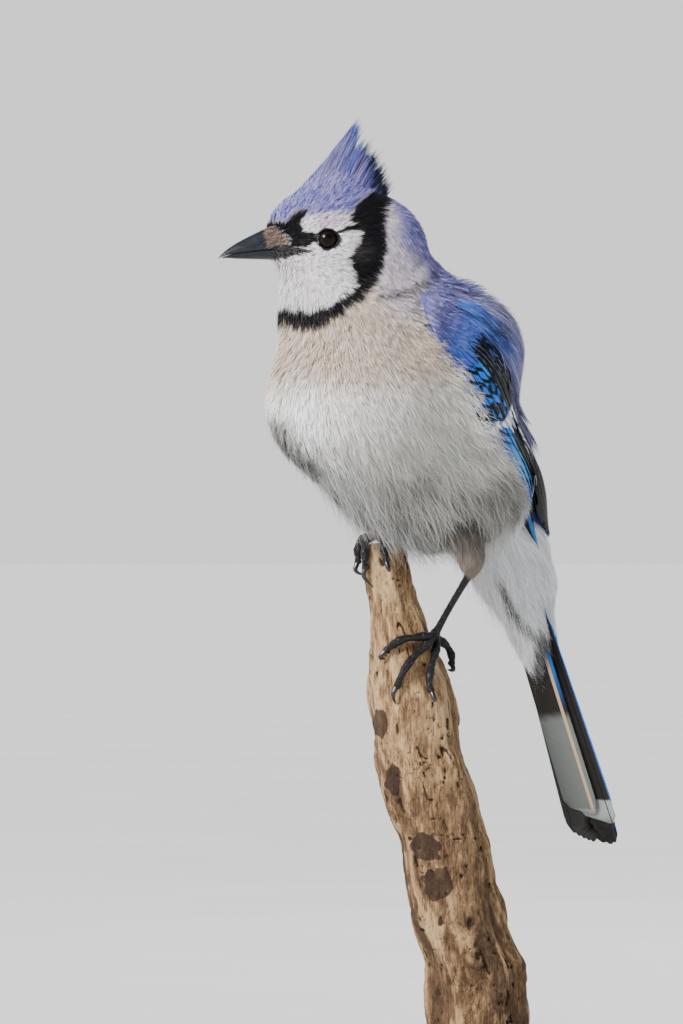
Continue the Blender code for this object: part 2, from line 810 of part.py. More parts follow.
def mouth_cutter(hand):
    """A thin curved plate that scores the line of the mouth into one side of the face."""
    path = smooth_path([(a, 0, c) for a, c in MOUTH_LINE], 7)
    inside = from_head(path * np.array([1, 0, 1]))
    skin = surface_from(inside, np.tile(HEAD[1] * hand, (len(inside), 1)))
    points = []
    for place in skin:
        for out in (-0.8, 2.5):
            for rise in (-0.25, 0.25):
                points.append(place + HEAD[1] * hand * out + HEAD[2] * rise)
    faces = [(0, 1, 3, 2)]
    for step in range(len(skin) - 1):
        a = step * 4
        for p, q in ((0, 1), (1, 3), (3, 2), (2, 0)):
            faces.append((a + p, a + q, a + 4 + q, a + 4 + p))
    last = (len(skin) - 1) * 4
    faces.append((last, last + 1, last + 3, last + 2))
    return mesh_object("mouth_cutter", np.array(points), faces, "horn", smooth=False)


def lid_ring(hand):
    """The rim of the eyelids round one eye."""
    centre, aim = eye_centre(hand)
    across = unit(np.cross(aim, HEAD[2]))
    up = np.cross(across, aim)
    turns = np.arange(16) / 16 * 2 * math.pi
    path = [
        centre + aim * 3.4 + LID_RADIUS * (across * math.cos(turn) + up * 0.95 * math.sin(turn))
        for turn in turns
    ]
    points, faces = [], []
    sides = 5
    for index, place in enumerate(path):
        outward = unit(place - centre - aim * 3.4)
        for k in range(sides):
            turn = 2 * math.pi * k / sides
            points.append(place + 0.55 * (math.cos(turn) * outward + math.sin(turn) * aim))
    count = len(path)
    for index in range(count):
        low, high = index * sides, (index + 1) % count * sides
        for k in range(sides):
            after = (k + 1) % sides
            faces.append((low + k, low + after, high + after, high + k))
    return mesh_object("lid", np.array(points), faces, "blue_feathers")


# Crest feathers in the head frame: root and tip as (forward, up), how far each side of the middle, half width
CREST_ROWS = [
    ((16.5, 10), (1.5, 30.5), 0.9, 3.0),
    ((13, 9), (-3.5, 34.5), 0, 3.0),
    ((12, 10), (-5.6, 37.4), 1.6, 3.3),
    ((7, 10), (-9.6, 42.6), 1.6, 3.6),
    ((4, 10), (-10.8, 39.0), 0, 3.6),
    ((3, 9), (-12.8, 37.2), 2.8, 4.2),
    ((0, 9), (-14.0, 33.0), 0, 4.0),
    ((-1, 8), (-16.6, 31.4), 3.8, 4.4),
    ((-5, 6), (-19.8, 25.0), 4.8, 4.3),
    ((-9, 4), (-22.6, 18.0), 6.0, 4.0),
]


def crest_feathers():
    """Pairs of overlapping vanes that sweep up and back from the crown."""
    pieces = []
    shares = np.array([0, 0.35, 0.7, 1.0])
    for (root_a, root_c), (tip_a, tip_c), spread, width in CREST_ROWS:
        for hand in (1, -1) if spread else (0,):
            bow = np.sin(shares * math.pi) * 0.8
            inside = np.stack(
                [
                    root_a + (tip_a - root_a) * shares + bow * 0.5,
                    hand * (spread * (1.25 - 0.95 * shares**1.5) + 0.6),
                    root_c + (tip_c - root_c) * shares + bow,
                ],
                axis=-1,
            )
            middle = from_head(inside)
            run = unit(np.gradient(middle, axis=0))
            outward = unit(np.tile(HEAD[1] * (hand or 1), (len(shares), 1)) + 0.25 * HEAD[2])
            side = unit(np.cross(run, outward))
            up = unit(np.cross(side, run))
            half = shape_of_vane(shares, width, tip=0.5, root=0.3)
            pieces.append(feather("crest_vane", middle, side, up, half, "blue_feathers"))
    return pieces


def build_head():
    """The head with its crest, lids and mouth line, the two halves of the bill and the eyes."""
    head = length_between("head", "head", None, HEAD_RINGS, HEAD_SIDES, "blue_feathers")
    join(head, crest_feathers() + [lid_ring(1), lid_ring(-1)])
    for hand in (1, -1):
        socket_place, _ = eye_centre(hand)
        socket = ball("socket", socket_place, EYE_RADIUS + GAP, "eye")
        carve(head, socket)
        bpy.data.objects.remove(socket)
        groove = mouth_cutter(hand)
        carve(head, groove)
        bpy.data.objects.remove(groove)
    grown = whole_coat("grown", HEAD_RINGS, HEAD_SIDES, grow=BILL_GAP)
    for name, upper in (("bill_upper", True), ("bill_lower", False)):
        half = bill_half(name, upper)
        carve(half, grown)
    bpy.data.objects.remove(grown)
    for hand, name in ((1, "eye_left"), (-1, "eye_right")):
        ball(name, eye_centre(hand)[0], EYE_RADIUS, "eye")
    return head


def branch_middle(height):
    """X and Y of the branch's middle at a height above the floor."""
    heights = [18, 29.5, 43.2, 57.2, 72.4, 87.5, 108, 122, 138, 145.4, 159.8, 174.2, 188.6, 197]
    xs = [7.2, 6.1, 4.9, 0, -3.8, -5.8, -12.2, -15.3, -16.9, -18.2, -21.2, -24.3, -27, -27.4]
    x = np.interp(height, heights, xs)
    y = 1.5 * np.sin(np.asarray(height) / 37.0)
    return x, y


def branch_radius(height, turn):
    """Radius of the branch at a height, turn radians round from the viewer's side."""
    heights = [18, 29.5, 43.2, 57.2, 72.4, 87.5, 108, 122, 138, 145.4, 159.8, 174.2, 188.6, 197]
    sizes = [18.2, 18, 18.5, 17.1, 16, 16.4, 16.6, 16, 15.5, 14.6, 11.2, 8.8, 8.3, 7.9]
    base = np.interp(height, heights, sizes)
    height = np.asarray(height, float)
    ridges = 0.035 * np.sin(3 * turn + height / 19.0) + 0.025 * np.sin(7 * turn - height / 31.0)
    knots = 0.03 * np.sin(height / 6.1 + 2 * turn) + 0.02 * np.sin(height / 3.4 - 3 * turn)
    return base * (1 + ridges + knots)


def on_branch(height, turn, clear=0.0):
    """World point clear of the branch's surface by a distance. turn is in degrees, 0 facing the viewer."""
    turn = math.radians(turn)
    x, y = branch_middle(height)
    radius = float(branch_radius(height, turn)) + clear
    return np.array([x + radius * math.sin(turn), y - radius * math.cos(turn), height])


def build_branch():
    """The cut length of dead branch."""
    sides = 20
    heights = np.linspace(BRANCH_FOOT_Z, BRANCH_TOP_Z, 25)
    turns = np.arange(sides) / sides * 2 * math.pi
    points = []
    for height in heights:
        x, y = branch_middle(height)
        radius = branch_radius(height, turns)
        points.append(
            np.stack(
                [x + radius * np.sin(turns), y - radius * np.cos(turns), np.full(sides, height)],
                axis=-1,
            )
        )
    # The broken top: the last ring steps in and up to a low crown
    x, y = branch_middle(BRANCH_TOP_Z)
    for shrink, lift in ((0.85, 0.4), (0.45, 0.6)):
        radius = branch_radius(BRANCH_TOP_Z, turns) * shrink
        points.append(
            np.stack(
                [
                    x + radius * np.sin(turns),
                    y - radius * np.cos(turns),
                    np.full(sides, BRANCH_TOP_Z + lift),
                ],
                axis=-1,
            )
        )
    rings = len(points)
    points = np.concatenate(points)
    faces = ring_faces(rings, sides)
    faces.append(tuple(range(sides))[::-1])
    faces.append(tuple(range((rings - 1) * sides, rings * sides)))
    return mesh_object("perch_branch", points, faces, "dead_wood")


SCUTES = 9
TOE_RADIUS = 1.35
CLAW_ROOT = 1.0
# Toes from the ball of the foot to the claw's tip: height, degrees round the branch, and clearance beyond the
# toe's own radius
LEFT_TOES = {
    "inner": [
        (161.5, 50, 1.2),
        (161.0, 28, 0.5),
        (160.3, 2, 0.5),
        (157.5, -20, 0.4),
        (155.8, -28, 0.4),
        (153.2, -34, 0.0),
    ],
    "middle": [
        (160.0, 50, 1.2),
        (156.8, 28, 0.6),
        (153.0, 8, 0.4),
        (148.0, -8, 0.4),
        (142.8, -19, 0.4),
        (137.2, -25, 0.0),
    ],
    "outer": [
        (158.5, 62, 1.2),
        (154.8, 49, 0.6),
        (149.8, 34, 0.4),
        (144.8, 25, 0.4),
        (141.2, 25, 0.4),
        (138.6, 30, 0.0),
    ],
    "hind": [
        (160.5, 82, 1.4),
        (158.2, 94, 2.6),
        (155.4, 99, 2.8),
        (152.8, 98, 1.9),
        (151.0, 93, 0.8),
        (149.2, 87, 0.0),
    ],
}
RIGHT_TOES = {
    "inner": [
        (197.1, 0, -5.0),
        (195.8, -2, -0.9),
        (192.6, -2, 0.5),
        (189.7, 0, 0.3),
        (187.8, 2, 0.3),
        (185.0, 8, 0.0),
    ],
    "middle": [
        (197.1, -45, -5.0),
        (196.0, -44, -0.9),
        (192.6, -42, 0.5),
        (188.4, -43, 0.3),
        (185.2, -46, 0.3),
        (178.8, -42, 0.0),
    ],
    "outer": [
        (197.1, -90, -5.4),
        (196.2, -84, -1.4),
        (193.0, -82, 0.2),
        (189.8, -78, 0.2),
        (187.4, -76, 0.3),
        (182.8, -70, 0.0),
    ],
    "hind": [
        (197.4, 120, -6.0),
        (196.4, 135, -1.2),
        (193.6, 138, 0.5),
        (191.0, 136, 0.3),
        (188.9, 134, 0.3),
        (184.6, 130, 0.0),
    ],
}
LEFT_BALL = (162.0, 66, 1.5)
RIGHT_BALL = (197.2, -30, -7.0)


def toe_path(stations):
    """Smooth middle line of a toe and of its claw, clear of the branch."""
    toe = np.array(
        [on_branch(h, turn, TOE_RADIUS + 0.35 + clear) for h, turn, clear in stations[:-1]]
    )
    height, turn, clear = stations[-1]
    claw_tip = on_branch(height, turn, 0.55 + clear)
    return toe, claw_tip


def build_foot(name, toes, ball_station, tarsus_top):
    """The bare leg with its toes as one node and its four claws."""
    height, turn, clear = ball_station
    middle = on_branch(height, turn, TOE_RADIUS + 0.35 + clear)
    shaft = smooth_path([middle, middle + 0.45 * (tarsus_top - middle) + [0, 0, 0.4], tarsus_top], 2 * SCUTES)
    shares = np.linspace(0, 1, 2 * SCUTES)
    # Each horny plate is a little thicker at its lower edge than at its upper one
    plates = np.where(np.arange(2 * SCUTES) % 2, 1.0, 1.12)
    points, faces = tube(shaft, (1.32 + 0.38 * (2 * shares - 1) ** 4) * plates, 9)
    leg = mesh_object(name, points, faces, "leg_scales")
    pieces = []
    for toe_name, stations in toes.items():
        path, claw_tip = toe_path(stations)
        # The toe's root reaches into the ball of the foot
        path = smooth_path(np.vstack([middle, path]), 9)
        shares = np.linspace(0, 1, len(path))
        pads = TOE_RADIUS * (1.05 - 0.22 * shares + 0.07 * np.cos(shares * 6 * math.pi))
        points, faces = tube(path, pads, 7)
        pieces.append(mesh_object("toe", points, faces, "leg_scales"))
        # The claw starts a little beyond the flat end of the toe and hooks down to the bark
        end, run = path[-1], unit(path[-1] - path[-2])
        start = end - run * 0.8
        outward = unit(end - np.append(branch_middle(end[2]), end[2]))
        hook = end + run * 2.6 + outward * 0.9
        bend = smooth_path([start, hook, claw_tip], 7)
        points, faces = tube(bend, CLAW_ROOT * np.array([1, 0.98, 0.92, 0.8, 0.62, 0.42, 0.16]), 6)
        claw = mesh_object(f"claw_{name[4:]}_{toe_name}", points, faces, "horn")
        slice_off(claw, end + run * GAP, -run)
    pieces.append(ball("ball", middle, 2.0, "leg_scales", 12, 8))
    return join(leg, pieces)


HEEL_LEFT = np.array([3.6, -18.6, 184.5])


def build_thigh(name, hand, heel):
    """The feathered upper leg, from under the flank to the heel."""
    root = from_body([-9, 19 * hand, -24])
    path = smooth_path([root, (root + heel) / 2 + BODY[0] * 2.0, heel], 8)
    points, faces = tube(path, np.array([9, 8.8, 8.0, 7.0, 6.0, 4.9, 3.7, 2.5]), 16)
    return mesh_object(name, points, faces, "thigh_feathers")


def build_legs(torso_cutter):
    """Both legs. The right one goes straight up into the belly's feathers."""
    run = unit(np.array([-13.7, 14.6, -27.4]))
    build_foot("leg_left", LEFT_TOES, LEFT_BALL, HEEL_LEFT + run * GAP)
    build_foot("leg_right", RIGHT_TOES, RIGHT_BALL, np.array([-27.5, -6.0, 214.0]))
    thigh = build_thigh("thigh_left", 1, HEEL_LEFT)
    slice_off(thigh, HEEL_LEFT - run * 0.2, run)
    carve(thigh, torso_cutter)
    carve(bpy.data.objects["leg_right"], torso_cutter)


def build_stand():
    """A flat round base and two short rods up to the branch."""
    shape = bmesh.new()
    bmesh.ops.create_cone(
        shape,
        cap_ends=True,
        segments=48,
        radius1=BASE_RADIUS * MM,
        radius2=BASE_RADIUS * MM,
        depth=BASE_THICK * MM,
    )
    mesh = bpy.data.meshes.new("stand_base")
    shape.to_mesh(mesh)
    shape.free()
    mesh.transform(Matrix.Translation((0, 0, BASE_THICK * MM / 2)))
    mesh.materials.append(paint("stand_paint", *FINISHES["stand_paint"]))
    base = bpy.data.objects.new("stand_base", mesh)
    bpy.context.scene.collection.objects.link(base)
    rounding = base.modifiers.new("Rim", "BEVEL")
    rounding.width = 1.2 * MM
    rounding.segments = 2
    rounding.limit_method = "ANGLE"
    middle_x, middle_y = branch_middle(BRANCH_FOOT_Z)
    low, high = BASE_THICK + GAP, BRANCH_FOOT_Z - GAP
    for index, shift in enumerate((-ROD_SPREAD, ROD_SPREAD), 1):
        path = [[middle_x + shift, float(middle_y), z] for z in (low, high)]
        points, faces = tube(path, ROD_RADIUS, 24, up=(0, 1, 0))
        mesh_object(f"stand_rod_{index}", points, faces, "stand_steel")


def main():
    """Builds every node."""
    clear_scene()
    torso, rump, neck, coverts, core = build_body()
    build_tail(core)
    cutter = whole_coat("cutter", BODY_RINGS, BODY_SIDES, grow=CUTTER_GROWTH)
    for hand, name in ((1, "wing_left"), (-1, "wing_right")):
        carve(build_wing(hand, name), cutter)
    build_head()
    build_branch()
    build_legs(cutter)
    bpy.data.objects.remove(cutter)
    build_stand()


main()
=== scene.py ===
"""The look of a life-size blue jay on a weathered branch with a plain display stand.

All shapes are worked out in millimetres and stored in metres. The bird has a body frame (forward, left, up) about
the torso's centre and a head frame about the skull's centre, both as in the solids.
"""

import math

import bpy
import numpy as np
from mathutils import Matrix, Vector, kdtree


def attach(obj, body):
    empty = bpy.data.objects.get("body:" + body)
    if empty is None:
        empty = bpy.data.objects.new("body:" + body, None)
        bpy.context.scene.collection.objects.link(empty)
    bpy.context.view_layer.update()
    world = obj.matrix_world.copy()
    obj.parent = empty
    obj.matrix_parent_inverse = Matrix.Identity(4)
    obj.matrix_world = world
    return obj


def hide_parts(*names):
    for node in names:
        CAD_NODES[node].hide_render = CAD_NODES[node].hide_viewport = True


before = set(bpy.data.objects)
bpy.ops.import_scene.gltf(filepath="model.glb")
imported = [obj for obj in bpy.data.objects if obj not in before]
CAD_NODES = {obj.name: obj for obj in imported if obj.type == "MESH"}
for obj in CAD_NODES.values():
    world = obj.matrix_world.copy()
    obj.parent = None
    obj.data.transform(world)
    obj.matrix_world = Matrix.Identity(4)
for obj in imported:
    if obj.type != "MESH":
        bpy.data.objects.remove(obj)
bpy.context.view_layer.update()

MM = 0.001
GAP = 0.3

# The bird's own frames and the forms of its coat, in millimetres and degrees
BODY_YAW = 48.0
HEAD_YAW = 78.0
HEAD_PITCH = -3.0
TORSO_CENTRE = np.array([-21.6, -14.4, 239.0])
HEAD_CENTRE = np.array([-45.0, -35.5, 303.8])
TAIL_LENGTH = 123.5
TAIL_PITCH = 67.8
TAIL_ROOT = (-50.5, 3.4, -40.7)
BODY_BLEND = 9.0
HEAD_BLEND = 6.0
PERCH_HOLLOW = np.array([-28.0, 0.5, 186.5])
PERCH_HOLLOW_RADIUS = 15.0


# Geometry helpers


def unit(vector):
    """The vector, or each row of an array, at length one."""
    vector = np.asarray(vector, float)
    return vector / np.maximum(np.linalg.norm(vector, axis=-1, keepdims=True), 1e-9)


def heading(yaw, pitch=0.0):
    """Rows are the forward, left and up directions of a frame turned from the viewer towards -X."""
    turn, tilt = math.radians(yaw), math.radians(pitch)
    level = np.array([-math.sin(turn), -math.cos(turn), 0.0])
    left = np.array([math.cos(turn), -math.sin(turn), 0.0])
    up = np.array([0.0, 0.0, 1.0])
    forward = level * math.cos(tilt) + up * math.sin(tilt)
    return np.array([forward, left, up * math.cos(tilt) - level * math.sin(tilt)])


BODY = heading(BODY_YAW)
HEAD = heading(HEAD_YAW, HEAD_PITCH)


def from_body(points):
    """Body frame to world."""
    return TORSO_CENTRE + np.asarray(points, float) @ BODY


def from_head(points):
    """Head frame to world."""
    return HEAD_CENTRE + np.asarray(points, float) @ HEAD


def in_body(points):
    """World to body frame."""
    return (np.asarray(points, float) - TORSO_CENTRE) @ BODY.T


def in_head(points):
    """World to head frame."""
    return (np.asarray(points, float) - HEAD_CENTRE) @ HEAD.T


# Ellipsoids of the coat: centre, half sizes and pitch
BODY_FORMS = {
    "trunk": ((0, 0, 0), (52, 36, 35), 55),
    "collar": ((22.5, 0, 32), (27, 28, 21), 20),
    "breast": ((23, 0, 5), (31, 32, 28), 20),
    "belly": ((-8, 0, -14), (27, 29, 21), 15),
    "mantle": ((-12, 0, 22), (24, 33, 30), 50),
    "upper_back": ((-9, 0, 31), (22, 27, 19.5), 40),
    "nape": ((7, 0, 43), (22, 21, 23), 58),
    "rump": ((-37, 0, -20), (30, 22, 19), 56),
    "vent": ((-43, 0, -42), (26, 14, 11), 67),
    "flank_left": ((-15, 20, -25), (19, 13, 21), 60),
    "flank_right": ((-16, -20, -22), (19, 13, 19), 60),
    "undertail": ((-58.5, 2.6, -66), (30, 9.5, 8), 67.8),
    "uppertail": ((-54, 2.6, -44), (21, 9, 5), 67.8),
}
HEAD_FORMS = {
    "skull": ((-1, 0, 4), (20, 13.5, 15), 0),
    "face": ((4, 0, -4), (19, 12, 11), 0),
    "cheeks": ((-1, 0, -9), (18, 15, 13), 0),
    "throat": ((4, 0, -18), (16, 13.5, 13), 0),
    "forehead": ((13.5, 0, 6), (10.5, 6.5, 8), -25),
    "hindneck": ((-15.5, 0, -7), (18, 13, 20), 0),
    "bristles": ((19, 0, -1), (8, 4.2, 3.6), -10),
    "crest_core": ((-1.5, 0, 13), (14.5, 5.5, 12), 108),
}
# The body's long line from under the tail to the crown: forward, up and the pitch of the ring there
SPINE = [
    (-67, -90, 68),
    (-59, -71, 68),
    (-50, -53, 67),
    (-38, -36, 63),
    (-19, -14, 58),
    (0, 6, 57),
    (12, 26, 62),
    (20, 44, 70),
    (27, 57, 80),
    (31, 66, 88),
    (30, 80, 90),
    (29, 88, 90),
]


def pitched(pitch):
    """Local axes of a form whose forward axis is lifted by pitch degrees."""
    tilt = math.radians(pitch)
    return np.array(
        [
            [math.cos(tilt), 0, math.sin(tilt)],
            [0, 1, 0],
            [-math.sin(tilt), 0, math.cos(tilt)],
        ]
    )


def form_distance(points, centre, half_sizes, axes):
    """Rough distance from points to an ellipsoid, negative inside."""
    local = (points - centre) @ axes.T
    half_sizes = np.asarray(half_sizes, float)
    reach = np.linalg.norm(local / half_sizes, axis=-1)
    slope = np.linalg.norm(local / half_sizes**2, axis=-1)
    return np.where(slope > 1e-9, reach * (reach - 1) / np.maximum(slope, 1e-9), -half_sizes.min())


def smooth_union(a, b, blend):
    """The lesser of two distances, rounded over where they are within blend of each other."""
    share = np.clip(0.5 + 0.5 * (b - a) / blend, 0, 1)
    return b * (1 - share) + a * share - blend * share * (1 - share)


def coat_distance(points):
    """Rough distance from world points to the coat's outer surface, negative inside."""
    points = np.asarray(points, float)
    total = None
    for local, table, blend in (
        (in_body(points), BODY_FORMS, BODY_BLEND),
        (in_head(points), HEAD_FORMS, HEAD_BLEND),
    ):
        for centre, half_sizes, pitch in table.values():
            one = form_distance(local, np.array(centre, float), half_sizes, pitched(pitch))
            total = one if total is None else smooth_union(total, one, blend)
    hollow = PERCH_HOLLOW_RADIUS - np.linalg.norm(points - PERCH_HOLLOW, axis=-1)
    return -smooth_union(-total, -hollow, 4.0)


def coat_normal(points):
    """Outward direction of the coat's surface near world points."""
    points = np.asarray(points, float)
    step = 0.4
    corners = np.array([[1, -1, -1], [-1, -1, 1], [-1, 1, -1], [1, 1, 1]], float)
    total = np.zeros(points.shape)
    for corner in corners:
        total += corner * coat_distance(points + step * corner)[..., None]
    return unit(total)


def smooth_path(points, count):
    """Points evenly spaced by index along a Catmull-Rom curve through the given ones."""
    points = np.asarray(points, float)
    padded = np.vstack([2 * points[0] - points[1], points, 2 * points[-1] - points[-2]])
    where = np.linspace(0, len(points) - 1, count)
    index = np.minimum(where.astype(int), len(points) - 2)
    t = (where - index)[:, None]
    a, b, c, d = (padded[index + k] for k in range(4))
    return 0.5 * (
        2 * b + (c - a) * t + (2 * a - 5 * b + 4 * c - d) * t**2 + (3 * b - a - 3 * c + d) * t**3
    )


def surface_from(starts, directions, reach=70.0):
    """Where rays that start inside the coat leave it, found by halving."""
    low = np.zeros(len(starts))
    steps = np.linspace(0, reach, 36)
    high = np.full(len(starts), reach)
    found = np.zeros(len(starts), bool)
    for near, far in zip(steps[:-1], steps[1:]):
        outside = coat_distance(starts + directions * far) > 0
        new = outside & ~found
        low[new], high[new] = near, far
        found |= new
    for _ in range(14):
        middle = (low + high) / 2
        outside = coat_distance(starts + directions * middle[:, None]) > 0
        high = np.where(outside, middle, high)
        low = np.where(outside, low, middle)
    return starts + directions * low[:, None]


def fade(low, high, value):
    """0 below low, 1 above high and smooth between."""
    share = np.clip((np.asarray(value, float) - low) / (high - low), 0, 1)
    return share * share * (3 - 2 * share)


def drift(points, size, seed=0):
    """Smooth random numbers from -1 to 1 over space, with features of about the given size."""
    points = np.asarray(points, float) / size
    cell = np.floor(points).astype(np.int64)
    part = points - cell
    part = part * part * (3 - 2 * part)
    total = np.zeros(points.shape[:-1])
    for corner in np.ndindex(2, 2, 2):
        key = cell + np.array(corner)
        mixed = (key[..., 0] * 73856093) ^ (key[..., 1] * 19349663) ^ (key[..., 2] * 83492791) ^ (seed * 9176 + 77)
        mixed = (mixed & 0xFFFFFFFF) * 2654435761 & 0xFFFFFFFF
        mixed = ((mixed ^ (mixed >> 15)) * 2246822519) & 0xFFFFFFFF
        value = (mixed >> 8 & 0xFFFF) / 32767.5 - 1
        weight = np.ones(points.shape[:-1])
        for axis in range(3):
            weight = weight * (part[..., axis] if corner[axis] else 1 - part[..., axis])
        total += value * weight
    return total


# Meshes from arrays


def mesh_piece(name, points, faces, finish, numbers=None, patch=None, smooth=True):
    """An object from millimetre points and lists of equal-sided faces. patch holds the OFBake place of each point."""
    points = np.asarray(points, float) * MM
    groups = [np.asarray(group, np.int64) for group in faces]
    corners = np.concatenate([group.ravel() for group in groups])
    sizes = np.concatenate([np.full(len(group), group.shape[1]) for group in groups])
    mesh = bpy.data.meshes.new(name)
    mesh.vertices.add(len(points))
    mesh.vertices.foreach_set("co", points.astype(np.float32).ravel())
    mesh.loops.add(len(corners))
    mesh.loops.foreach_set("vertex_index", corners.astype(np.int32))
    mesh.polygons.add(len(sizes))
    starts = np.concatenate([[0], np.cumsum(sizes)[:-1]])
    mesh.polygons.foreach_set("loop_start", starts.astype(np.int32))
    for key, values in (numbers or {}).items():
        data = mesh.attributes.new(key, "FLOAT", "POINT")
        values = np.broadcast_to(np.asarray(values, np.float32), (len(points),))
        data.data.foreach_set("value", np.ascontiguousarray(values))
    if patch is not None:
        layer = mesh.uv_layers.new(name="OFBake")
        places = np.asarray(patch, np.float32)[corners]
        layer.uv.foreach_set("vector", np.ascontiguousarray(places).ravel())
    mesh.update(calc_edges=True)
    mesh.validate()
    if smooth:
        mesh.shade_smooth()
    mesh.materials.append(finish)
    made = bpy.data.objects.new(name, mesh)
    bpy.context.scene.collection.objects.link(made)
    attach(made, "root")
    return made


def grid_faces(rows, columns, wrap=False, first=0):
    """Quads of a grid of points, closed round the columns if wrap is set."""
    row = np.arange(rows - 1)[:, None]
    column = np.arange(columns if wrap else columns - 1)[None]
    after = (column + 1) % columns
    low, high = first + row * columns, first + (row + 1) * columns
    quads = np.stack([low + column, low + after, high + after, high + column], axis=-1)
    return quads.reshape(-1, 4)


def fan_faces(ring, tip, turned=False):
    """Triangles from a closed ring of point numbers to one point."""
    ring = np.asarray(ring)
    after = np.roll(ring, -1)
    order = [after, ring] if turned else [ring, after]
    return np.stack([*order, np.full(len(ring), tip)], axis=-1)


def tube(path, radii, sides=16, flatten=1.0, up=(0, 0, 1), swell=None):
    """Points, quads and cap triangles of a closed round tube. swell(share, turn) scales the radius."""
    path = np.asarray(path, float)
    radii = np.broadcast_to(np.asarray(radii, float), (len(path),))
    along = unit(np.gradient(path, axis=0))
    turns = np.arange(sides) / sides * 2 * math.pi
    side = unit(np.cross(along[0], up))
    rings = []
    for index, (centre, direction, radius) in enumerate(zip(path, along, radii)):
        side = unit(side - direction * np.dot(side, direction))
        other = np.cross(direction, side)
        size = radius * (swell(index / (len(path) - 1), turns) if swell else np.ones(sides))
        rings.append(
            centre
            + (size * np.cos(turns))[:, None] * side
            + flatten * (size * np.sin(turns))[:, None] * other
        )
    points = np.vstack(rings + [path[0], path[-1]])
    count = len(path) * sides
    quads = grid_faces(len(path), sides, wrap=True)
    caps = np.vstack(
        [
            fan_faces(np.arange(sides), count, turned=True),
            fan_faces(np.arange(count - sides, count), count + 1),
        ]
    )
    return points, quads, caps


def tube_numbers(stations, sides):
    """Share along a tube and turn round it for each of its points."""
    share = np.repeat(np.linspace(0, 1, stations), sides)
    turn = np.tile(np.arange(sides) / sides, stations)
    return np.concatenate([share, [0, 1]]), np.concatenate([turn, [0, 0]])


def gathered(parts):
    """Several (points, quads, triangles, numbers) as one set of arrays."""
    points, quads, triangles, numbers = [], [], [], {}
    first = 0
    for part_points, part_quads, part_triangles, part_numbers in parts:
        points.append(part_points)
        quads.append(np.asarray(part_quads) + first)
        triangles.append(np.asarray(part_triangles) + first)
        for key, values in part_numbers.items():
            values = np.broadcast_to(np.asarray(values, float), (len(part_points),))
            numbers.setdefault(key, []).append(values)
        first += len(part_points)
    numbers = {key: np.concatenate(values) for key, values in numbers.items()}
    return np.vstack(points), [np.vstack(quads), np.vstack(triangles)], numbers


# Materials


class Amount:
    """A shader number as an expression. Each operator adds its Math node."""

    def __init__(self, finish, socket):
        self.finish = finish
        self.socket = socket

    def run(self, operation, *others):
        """One Math node with this number first."""
        return self.finish.number("Math", {"operation": operation}, {0: self, **dict(enumerate(others, 1))})

    def __add__(self, other):
        return self.run("ADD", other)

    __radd__ = __add__

    def __mul__(self, other):
        return self.run("MULTIPLY", other)

    __rmul__ = __mul__

    def __sub__(self, other):
        return self.run("SUBTRACT", other)

    def __rsub__(self, other):
        return self.finish.number("Math", {"operation": "SUBTRACT"}, {0: other, 1: self})

    def __truediv__(self, other):
        return self.run("DIVIDE", other)

    def __pow__(self, other):
        return self.run("POWER", other)

    def __abs__(self):
        return self.run("ABSOLUTE")

    def sine(self):
        """The sine of the number."""
        return self.run("SINE")

    def step(self, low, high):
        """0 where the number is low, 1 where it is high, smooth between. low may be above high."""
        settings = {"interpolation_type": "SMOOTHSTEP", "clamp": True}
        if low > high:
            inputs = {"Value": self, "From Min": high, "From Max": low, "To Min": 1.0, "To Max": 0.0}
        else:
            inputs = {"Value": self, "From Min": low, "From Max": high}
        return self.finish.number("MapRange", settings, inputs)


